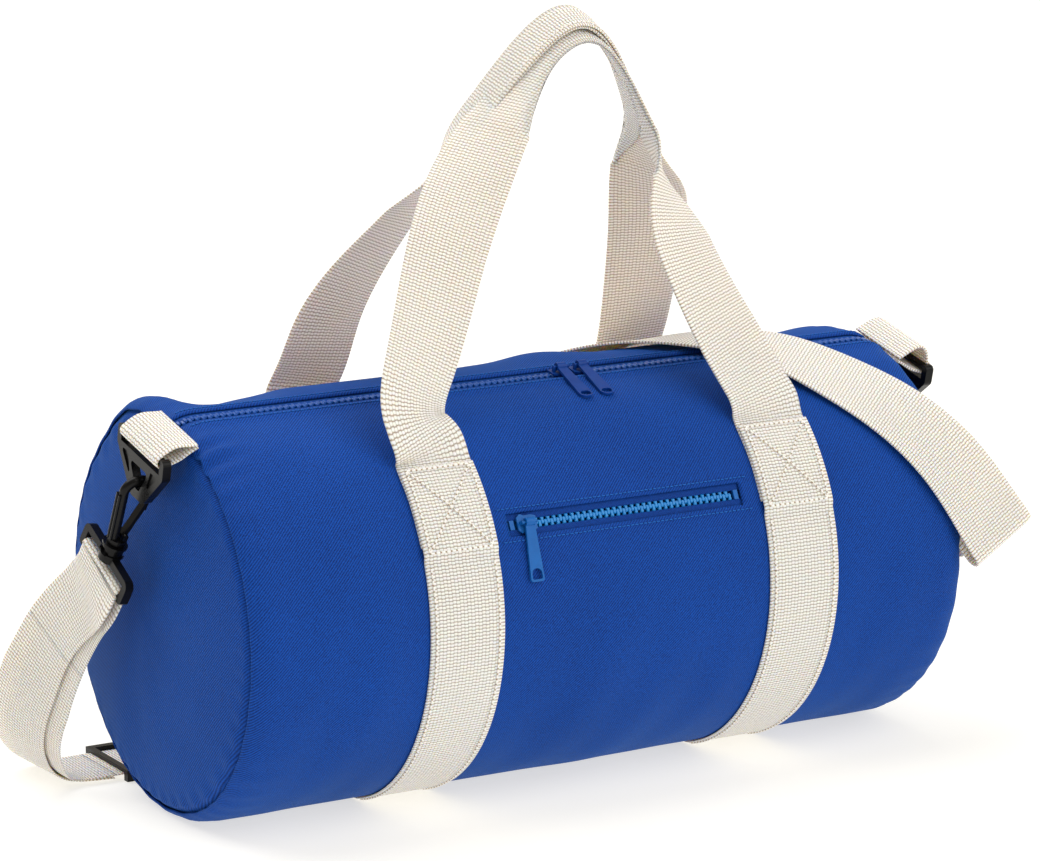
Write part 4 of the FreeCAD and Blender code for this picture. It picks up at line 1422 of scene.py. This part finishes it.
@dataclass
class Handle:
    """Webbing handle sewn into two boxes, folded lengthwise and stitched at its grip.

    Left_end and right_end are the run and drop from the grip's middle to the top of each leg, and
    seams are the lengths from there to the ends of the fold.
    """

    barrel: Barrel
    side: Side
    nesting: float = 0.0
    grip_side: float = 2.0
    splay: float = 6.0
    tilt: float = 25.0
    seams: tuple[float, float] = (4.0, 10.0)
    width: float = WEB_WIDTH
    webbing: float = WEB_THICKNESS
    hinge: float = 40.77
    rise: float = 219.0
    shift: float = 40.0
    left_end: tuple[float, float] = (-56.0, -43.0)
    right_end: tuple[float, float] = (46.0, -66.0)
    opening: float = 62.0
    left: Leg = Leg()
    right: Leg = Leg()
    root_angles: tuple[float, ...] = (66.0, 57.0, 49.0, 44.0)
    root_lift: float = 1.0
    foot_lift: float = 2.4
    sewn_share: float = 0.985
    edge_inset: float = 3.0
    row_gap: float = 0.3

    def strip(self) -> tuple[Strip, Array]:
        """The handle's line, a spline through the stations of both legs, and its folded share.

        Returns:
            The strip from the left box over the grip to the right box, and the share folded at
            each place.
        """
        b, s = self.barrel, self.side.value
        top = b.axis_z + b.radius + self.rise - self.nesting
        grip = np.array([self.shift, s * self.grip_side, top])
        still = [0.0] * (len(self.root_angles) + 1)
        lines, turns = [], []
        for place, (run, drop), leg in zip(b.band_places, (self.left_end, self.right_end),
                                           (self.left, self.right)):
            tip = grip + np.array([run, s * self.splay, drop])
            roots = b.point(place, -s * np.array(self.root_angles), self.root_lift, False)
            foot = b.point(place, -s * self.hinge, self.foot_lift, False)
            shares = np.stack([leg.insets, leg.leans, leg.heights], axis=-1)
            leg_points = foot + (tip - foot) * shares
            lines.append(np.concatenate([roots, foot[None], leg_points, tip[None]]))
            turns.append(np.array([*still, *leg.turns, 90.0]))
        points = np.concatenate([lines[0], grip[None], lines[1][::-1]])
        turn = np.radians(np.concatenate([turns[0], [90.0], 180.0 - turns[1][::-1]]))
        tilt = np.radians(self.tilt)
        across = np.stack([np.cos(turn), s * np.sin(turn) * np.cos(tilt),
                           s * np.sin(turn) * np.sin(tilt)], axis=-1)
        places, knots, at = smooth_line(points, 330)
        strip = Strip.through(places, columns(knots, across, at))
        first, last = len(lines[0]) - 1, len(lines[0]) + 1
        start, end = knots[first] + self.seams[0], knots[last] - self.seams[1]
        return strip, hump(at, (start - self.opening, start), (end, end + self.opening))

    def stitch_rows(self, strip: Strip, fold: Array) -> list[Row]:
        """Row along the open edge of the fold, on both faces.

        Args:
            strip: The handle's line.
            fold: The share folded at each place.

        Returns:
            For each row, its places and the outward direction at each.
        """
        held = fold > self.sewn_share
        edge = strip.centre + strip.side * (self.edge_inset - self.width / 4)
        lift = strip.face * (self.webbing + self.row_gap)
        return [((edge + way * lift)[held], strip.face[held] * way) for way in (-1, 1)]

    def dress(self, finishes: Finishes) -> None:
        """Build the handle and the stitches along its grip.

        Args:
            finishes: The bag's materials.
        """
        name = self.side.word
        strip, fold = self.strip()
        piece = finish_piece(ribbon(f"{name}_webbing_handle", strip, self.width, self.webbing, fold,
                                    -self.side.value), finishes.webbing)
        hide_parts(f"{name}_handle", f"{name}_handle_ends")
        angle = -self.side.value * self.hinge
        root = self.barrel.point(0.0, angle, self.foot_lift, False)
        way = self.barrel.tangent(np.array(angle)) * -self.side.value
        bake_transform(piece)
        thread = Thread(pitch=3.2, length=3.1, thickness=0.8)
        sewn = finish_piece(thread.sew(f"{name}_grip_stitches", self.stitch_rows(strip, fold)),
                            finishes.cream_yarn)
        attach(sewn, f"{name}_handle")


# ---------------------------------------------------------------- ring tabs and shoulder strap

@dataclass
class Clip:
    """Places of one end's ring bar and strap loop, and the tab that holds the ring."""

    barrel: Barrel
    end: End
    tilt: float
    lean: float
    tab_angle: float = 13.0
    tab_reach: float = 20.0
    tab_drop: float = 12.0
    tab_tilt: float = 19.0
    tab_length: float = 23.5
    tab_arch: float = 2.0
    tab_half_gap: float = 0.9
    tab_close: tuple[float, float] = (0.35, 1.0)
    wrap: float = 3.6
    hang_depth: float = 22.1
    bend: float = 8.5
    loop_depth: float = 59.78

    def ring_bar(self) -> Bar:
        """The ring's bar, in its slot above the end seam.

        Returns:
            Its middle, and the directions along it, out of the bag and up.
        """
        b, out = self.barrel, self.end.value
        turn = np.array(self.tab_angle)
        reach = b.radius - self.tab_drop
        bar = np.array([out * (b.half_length + self.tab_reach), -reach * np.sin(np.radians(turn)),
                        b.axis_z + reach * np.cos(np.radians(turn))])
        return bar, b.tangent(turn) * -out, X_DIR * out, b.normal(turn)

    def loop_bar(self) -> Bar:
        """The strap loop's bar, which hangs below the ring with the hook's lean.

        Returns:
            Its middle, and the directions along it, outward and up.
        """
        b, out = self.barrel, self.end.value
        bar, _, _, ring_up = self.ring_bar()
        lean, steep = np.radians(self.lean), b.normal(np.array(self.tilt))
        up = steep * np.cos(lean) - X_DIR * out * np.sin(lean)
        outward = X_DIR * out * np.cos(lean) + steep * np.sin(lean)
        place = bar - ring_up * self.hang_depth - up * (self.bend + self.loop_depth)
        return place, np.cross(outward, up), outward, up

    def turn(self) -> Strip:
        """Half turn of webbing over the strap loop's bar, from its outer side to its inner one."""
        bar, across, outward, up = self.loop_bar()
        return Strip.through(half_turn(bar, outward, up, self.wrap), across)

    def tab(self, name: str) -> bpy.types.Object:
        """Webbing tab from the end seam, arched by a sine, round the ring's bar and back.

        Args:
            name: The piece's name.

        Returns:
            The piece.
        """
        bar, across, out, up = self.ring_bar()
        tilt = np.radians(self.tab_tilt)
        back = -out * np.cos(tilt) + up * np.sin(tilt)
        rise = out * np.sin(tilt) + up * np.cos(tilt)
        share = np.linspace(1.0, 0.0, 16)[:, None]
        close = 1.0 - ease(share, *self.tab_close)
        apart = self.tab_half_gap + (self.wrap - self.tab_half_gap) * close
        arch = self.tab_arch * np.sin(np.pi * share ** 0.8)
        line = bar + back * share * self.tab_length
        centre = np.concatenate([line + rise * (apart + arch),
                                 half_turn(bar, rise, -back, self.wrap)[1:-1],
                                 (line - rise * apart)[::-1]])
        return ribbon(name, Strip.through(centre, across))

    def dress(self, finishes: Finishes) -> None:
        """Build the ring's tab.

        Args:
            finishes: The bag's materials.
        """
        tab = finish_piece(self.tab(f"{self.end.word}_webbing_tab"), finishes.webbing)
        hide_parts(f"{self.end.word}_ring_tab")
        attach(tab, "bag")


@dataclass(frozen=True)
class Stretch:
    """One length of a hanging strap, and the joint that it crosses."""

    tag: str
    start: float
    stop: float
    bag_side: str
    loop_side: str
    inset: float

    def bend(self, piece: bpy.types.Object, line: Strip) -> None:
        """Bake the piece's placement into its mesh; the line's points at the insets are read but
        not used.

        Args:
            piece: The piece.
            line: The line that the strap hangs along.
        """
        line.at(self.stop - self.inset) * MM
        line.at(self.start + self.inset) * MM
        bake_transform(piece)


@dataclass
class Strap:
    """Shoulder strap: doubled from the left loop to the adjuster, then up the back and over.

    The stations of its long part are shares of half the bag's length, angles round the barrel and
    shares of its lift. Those of its fall are shares of its way out, its way back and its height.
    """

    barrel: Barrel
    left: Clip
    right: Clip
    width: float = WEB_WIDTH
    webbing: float = WEB_THICKNESS
    layer: float = 2.6
    layer_close: tuple[float, float] = (12.0, 40.0)
    layer_shift: float = 13.0
    shift_rise: tuple[float, float] = (6.0, 80.0)
    shift_fall: tuple[float, float] = (150.0, 235.0)
    left_cuts: tuple[float, float, float] = (26.0, 72.0, 185.0)
    right_cuts: tuple[float, float] = (20.0, 54.0)
    lift: float = 3.0
    slope: float = 39.0
    end_slope: float = 27.0
    slope_span: tuple[float, float] = (10.0, 80.0)
    out: float = 46.0
    lie_y: float = 101.0
    drop_z: float = 3.7
    rod: float = 5.0
    fold: float = 4.8
    floor_step: float = 20.0
    floor_leave: tuple[float, float, float] = (-5.0, 5.0, 5.0)
    leave_turn: tuple[float, float, float] = (0.0, 1.0, 0.2)
    snug: float = 0.6
    snug_angle: float = -27.0
    snug_reach: float = 35.0
    climb_end: float = 0.9
    hidden_bulge: tuple[float, float, float] = (14.0, 0.0, -8.0)
    fall: tuple[tuple[float, float, float], ...] = ((1.0, 0.66, 0.54), (0.9, 0.9, 0.2))
    fall_turns: tuple[tuple[float, float, float], ...] = ((-0.25, 0.95, 0.1), (-0.15, 0.98, 0.0))
    stations: tuple[tuple[float, float, float], ...] = (
        (-0.46, -128.0, 3.0), (-0.288, -108.0, 2.0), (-0.108, -85.0, 1.0), (0.036, -65.0, 1.0),
        (0.18, -45.0, 1.0), (0.304, -28.0, 1.33), (0.425, -12.0, 2.0), (0.53, 2.0, 2.67),
        (0.632, 14.0, 2.0), (0.762, 30.0, 1.0), (0.88, 46.0, 1.0), (0.985, 63.5, 1.33),
        (1.085, 83.0, 1.67))

    def drop(self) -> Strip:
        """Hanging part: a spline from the left loop to the floor behind the left end.

        Returns:
            The strip.
        """
        bar, across, outward, up = self.left.loop_bar()
        leave = bar - outward * self.left.wrap
        end_x, tall = -self.barrel.half_length, self.barrel.axis_z
        falling = [(end_x - self.out * away, self.lie_y * behind, tall * high)
                   for away, behind, high in self.fall]
        points = np.array([
            leave, leave - up * self.rod, leave - up * 2 * self.rod,
            leave - up * 5 * self.rod + Y_DIR * self.rod, *falling,
            (end_x - self.out / 2, self.lie_y, self.drop_z + self.webbing),
            (end_x - self.rod, self.lie_y, self.drop_z),
            (end_x + self.rod, self.lie_y, self.drop_z)])
        turns = np.array([across] * 4 + [*self.fall_turns] + [Y_DIR] * 3)
        return Strip.route(points, turns, 110)

    def run(self) -> Strip:
        """Long part: a spline along the floor, up the back and over the top to the right end.

        Returns:
            The strip.
        """
        half = self.barrel.half_length
        start = np.array([-half + self.rod, self.lie_y, self.drop_z])
        floor = [start + X_DIR * self.floor_step * count for count in (0, 1, 2, 4)]
        floor[-1] = floor[-1] + np.array(self.floor_leave)
        share, angle, lifts = (np.array(column) for column in zip(*self.stations))
        close = np.where(np.abs(angle - self.snug_angle) < self.snug_reach, self.snug, 1.0)
        climb = self.barrel.point(half * np.clip(share, -self.climb_end, self.climb_end), angle,
                                  self.lift * lifts * close, False)
        climb[:, 0] = half * share
        ahead = unit(climb[-1] - climb[-2])
        lie = np.radians(np.interp(angle, self.slope_span, (self.slope, self.end_slope)))[:, None]
        across = -X_DIR * np.cos(lie) - self.barrel.tangent(angle) * np.sin(lie)
        points = np.concatenate([floor, climb, [climb[-1] + ahead * self.rod]])
        turns = np.concatenate([[Y_DIR, Y_DIR, Y_DIR, self.leave_turn], across, across[-1:]])
        return Strip.route(points, turns, 240)

    def run_end(self, run: Strip) -> tuple[Array, Array]:
        """Directions at the long part's end: ahead, and off its face towards the back."""
        return unit(run.centre[-1] - run.centre[-2]), run.face[-1] * np.sign(run.face[-1][1])

    def back(self, run: Strip) -> Strip:
        """Hidden part: a spline from the right loop down to the fold at the long part's end.

        Args:
            run: The long part.

        Returns:
            The strip.
        """
        bar, across, outward, up = self.right.loop_bar()
        leave = bar - outward * self.right.wrap
        ahead, inward = self.run_end(run)
        edge = run.side[-1]
        hidden = run.centre[-1] + inward * 2 * self.fold
        below, beside = leave - up * 4 * self.rod, hidden - ahead * 3 * self.rod
        middle = (below + beside) / 2 + np.array(self.hidden_bulge)
        points = np.array([leave, leave - up * self.rod, below, middle, beside, hidden])
        turns = np.array([across, across, across * 0.6 + edge * 0.4, (across + edge) / 2,
                          edge, edge])
        return Strip.route(points, turns, 70)

    def piece(self, name: str, strip: Strip, finishes: Finishes, *nodes: str) -> bpy.types.Object:
        """One length of the strap, which hides the nodes that it stands for.

        Args:
            name: The piece's name.
            strip: The line that it follows.
            finishes: The bag's materials.
            *nodes: The nodes that it replaces, where it does.

        Returns:
            The piece.
        """
        made = finish_piece(ribbon(name, strip, self.width, self.webbing), finishes.webbing)
        float(strip.run[-1] - strip.run[0]) * MM
        if nodes:
            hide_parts(*nodes)
        return made

    def chain(self, end: End, cuts: tuple[float, float, float]) -> list[Stretch]:
        """Lengths of a hanging strap, each across one joint on the way from loop to bag.

        Args:
            end: The bag's end.
            cuts: Where each length ends, down from the loop.

        Returns:
            The lengths, from the loop down.
        """
        top, middle, low = cuts
        ring, hook, loop = (f"{end.word}_{part}" for part in ("ring", "hook", "strap_loop"))
        return [Stretch("loop", 0.0, top, hook, loop, inset=4.0),
                Stretch("upper", top, middle, ring, hook, inset=5.0),
                Stretch("middle", middle, low, "bag", ring, inset=6.0)]

    def dress_left(self, finishes: Finishes) -> None:
        """Doubled drop: the turn round the loop, two lengths and the still foot.

        Args:
            finishes: The bag's materials.
        """
        drop, apart = self.drop(), 2 * self.left.wrap
        offset = -apart + (apart - self.layer) * ease(drop.run, *self.layer_close)
        shift = self.layer_shift * hump(drop.run, self.shift_rise, self.shift_fall)
        under = drop.raised(offset, shift)
        first, *others = self.chain(End.LEFT, self.left_cuts)
        inner, outer = (strip.between(first.start, first.stop) for strip in (under, drop))
        whole = inner.reversed().joined(self.left.turn()).joined(outer)
        first.bend(self.piece("strap_left_turn", whole, finishes, "strap_left_return",
                              "strap_left_drop"), drop)
        layers = {"outer": drop, "inner": under}
        for stretch in others:
            for layer, strip in layers.items():
                piece = self.piece(f"strap_left_{stretch.tag}_{layer}",
                                   strip.between(stretch.start, stretch.stop), finishes)
                stretch.bend(piece, drop)
        for layer, strip in layers.items():
            foot = strip.between(self.left_cuts[-1], float(drop.run[-1]))
            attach(self.piece(f"strap_left_foot_{layer}", foot, finishes), "bag")

    def dress_right(self, finishes: Finishes) -> None:
        """Long part with its fold, and the hidden lengths up to the right loop.

        Args:
            finishes: The bag's materials.
        """
        run = self.run()
        back = self.back(run)
        ahead, inward = self.run_end(run)
        around = half_turn(run.centre[-1] + inward * self.fold, -inward, ahead, self.fold)
        whole = run.joined(Strip.through(around, run.side[-1]))
        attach(self.piece("strap_over_top", whole, finishes, "strap_run"), "bag")
        for stretch in self.chain(End.RIGHT, (*self.right_cuts, float(back.run[-1]))):
            strip, nodes = back.between(stretch.start, stretch.stop), ()
            if stretch.tag == "loop":
                strip, nodes = self.right.turn().joined(strip), ("strap_right_return",)
            stretch.bend(self.piece(f"strap_right_{stretch.tag}", strip, finishes, *nodes), back)

    def dress(self, finishes: Finishes) -> None:
        """Build the whole strap."""
        self.dress_left(finishes)
        self.dress_right(finishes)


# ---------------------------------------------------------------- seams and fittings

def dress_seams(main: Zip, pocket: Zip, finishes: Finishes) -> None:
    """Stitch rows beside both zips.

    Args:
        main: The top zip.
        pocket: The pocket's zip.
        finishes: The bag's materials.
    """
    thread = Thread(pitch=3.0, length=2.9, thickness=0.7)
    pocket_rows = (pocket.span[0] - 3.0, pocket.span[1] + 3.0)
    sewn_rows = {
        "main_zip_stitches": main.seams(laterals=(-10.5, 10.5), ends=(-243.0, 243.0), lift=1.0),
        "pocket_stitches": pocket.seams(laterals=(-10.0, 10.0), ends=pocket_rows, lift=0.95)}
    for name, rows in sewn_rows.items():
        sewn = finish_piece(thread.sew(name, rows), finishes.blue_yarn)
        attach(sewn, "bag")


def dress_fittings(frame: dict[str, Any], finishes: Finishes) -> None:
    """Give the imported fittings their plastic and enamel.

    Args:
        frame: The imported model.
        finishes: The bag's materials.
    """
    for name, node in frame["nodes"].items():
        if name.endswith(PLASTIC_FITTINGS):
            material = finishes.plastic
        elif name.endswith(METAL_FITTINGS):
            material = finishes.bright_metal if name.startswith("pocket") else finishes.metal
        else:
            continue
        node.data.materials.clear()
        node.data.materials.append(material)
        LOG.info("%s keeps its solid", name)


# ---------------------------------------------------------------- stage

@dataclass(frozen=True)
class Studio:
    """Pale floor, soft lights and the photograph's camera."""

    azimuth: float = -30.404
    elevation: float = 12.516
    distance: float = 2.7668
    target: tuple[float, float, float] = (-0.0009, 0.0, 0.20886)
    lens: float = 154.53
    sensor: float = 36.0
    floor_reach: float = 9000.0
    floor_z: float = -0.2
    floor_tones: tuple[Colour, Colour] = ((0.46, 0.46, 0.46), (0.48, 0.48, 0.48))
    floor_glow: tuple[float, float, float, float] = (1.0, 0.985, 0.92, 1.0)
    floor_strength: float = 0.64
    sky: tuple[float, float, float, float] = (1.0, 0.91, 0.78, 1.0)
    sky_strength: float = 0.48

    def floor(self) -> None:
        """Pale flat floor of fine even grain."""
        g = Graph("pale_floor")
        tone = g.noise(3.0, 2.0)
        material = g.surface({
            "Base Color": g.mix(tone, *self.floor_tones), "Roughness": 0.9,
            "Specular IOR Level": 0.1, "Emission Color": self.floor_glow,
            "Emission Strength": self.floor_strength})
        line = np.linspace(-self.floor_reach, self.floor_reach, 3)
        u, v = np.meshgrid(line, line, indexing="ij")
        points = np.stack([u, v, np.full_like(u, self.floor_z)], axis=-1).reshape(-1, 3)
        piece = make_piece("floor", points, grid_faces(3, 3).tolist(), points[:, :2])
        piece.data.materials.append(material)

    def light(self, name: str, toward: tuple[float, float, float], strength: float,
              spread: float) -> None:
        """Broad soft light from far away, as from a large box above the table.

        Args:
            name: The light's name.
            toward: The direction from the bag to the light.
            strength: Its strength.
            spread: The angle that it fills, in degrees.
        """
        lamp = bpy.data.lights.new(name, "SUN")
        lamp.energy = strength
        lamp.angle = np.radians(spread)
        held = bpy.data.objects.new(name, lamp)
        held.rotation_euler = Vector(toward).to_track_quat("Z", "Y").to_euler()
        bpy.context.scene.collection.objects.link(held)

    def camera(self) -> None:
        """The photograph's camera, at a distance from its target along two angles."""
        scene = bpy.context.scene
        a, e = np.radians(self.azimuth), np.radians(self.elevation)
        back = Vector((np.sin(a) * np.cos(e), -np.cos(a) * np.cos(e), np.sin(e)))
        camera = bpy.data.cameras.new("camera")
        camera.lens = self.lens
        camera.sensor_width = self.sensor
        held = bpy.data.objects.new("camera", camera)
        held.location = Vector(self.target) + back * self.distance
        held.rotation_mode = "QUATERNION"
        held.rotation_quaternion = (-back).to_track_quat("-Z", "Y")
        scene.collection.objects.link(held)
        scene.camera = held

    def build(self) -> None:
        """Set up the camera, the world, the floor and the lights."""
        self.camera()
        scene = bpy.context.scene
        world = bpy.data.worlds.new("studio")
        world.use_nodes = True
        colour, strength, *_ = world.node_tree.nodes["Background"].inputs
        colour.default_value = self.sky
        strength.default_value = self.sky_strength
        scene.world = world
        scene.view_settings.view_transform = "Standard"
        self.floor()
        self.light("key", (0.35, -0.7, 0.6), strength=1.4, spread=60.0)
        self.light("back", (-0.2, 0.4, 0.88), strength=2.2, spread=60.0)


def main() -> None:
    logging.basicConfig(level=logging.INFO, format="%(name)s %(message)s")
    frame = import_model()
    Studio().build()
    finishes = Finishes()
    barrel = Barrel()
    Shell(barrel).dress(finishes)
    main_zip = Zip(barrel, "main_zip", ("front", "back"), barrel.main_zip, span=(-248.6, 248.6),
                   chains=((-248.6, 14.5), (29.5, 248.6)))
    pocket_zip = Zip(barrel, "pocket_zip", ("lower", "upper"), barrel.pocket_zip,
                     span=(-78.0, 92.0), chains=((-62.5, 83.0),))
    main_zip.dress(finishes)
    pocket_zip.dress(finishes)
    dress_seams(main_zip, pocket_zip, finishes)
    Bands(barrel).dress(finishes)
    Handle(barrel, Side.FRONT, nesting=13.8, grip_side=2.7, seams=(40.0, 24.0),
           left=Leg(insets=(-0.02, -0.07, 0.04, 0.4), turns=(-8.0, -24.0, -10.0, 12.0)),
           right=Leg(insets=(0.02, 0.1, 0.38, 0.82), turns=(2.0, 9.0, 9.0, 24.0))).dress(finishes)
    Handle(barrel, Side.BACK, nesting=5.0, left=Leg(insets=(0.0, 0.03, 0.1, 0.51)),
           right=Leg(insets=(0.0, 0.01, 0.06, 0.28))).dress(finishes)
    left = Clip(barrel, End.LEFT, tilt=28.0, lean=9.0)
    right = Clip(barrel, End.RIGHT, tilt=-20.0, lean=10.0, tab_arch=9.0)
    left.dress(finishes)
    right.dress(finishes)
    Strap(barrel, left, right).dress(finishes)
    dress_fittings(frame, finishes)
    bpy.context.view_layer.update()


if __name__ == "__main__":
    main()
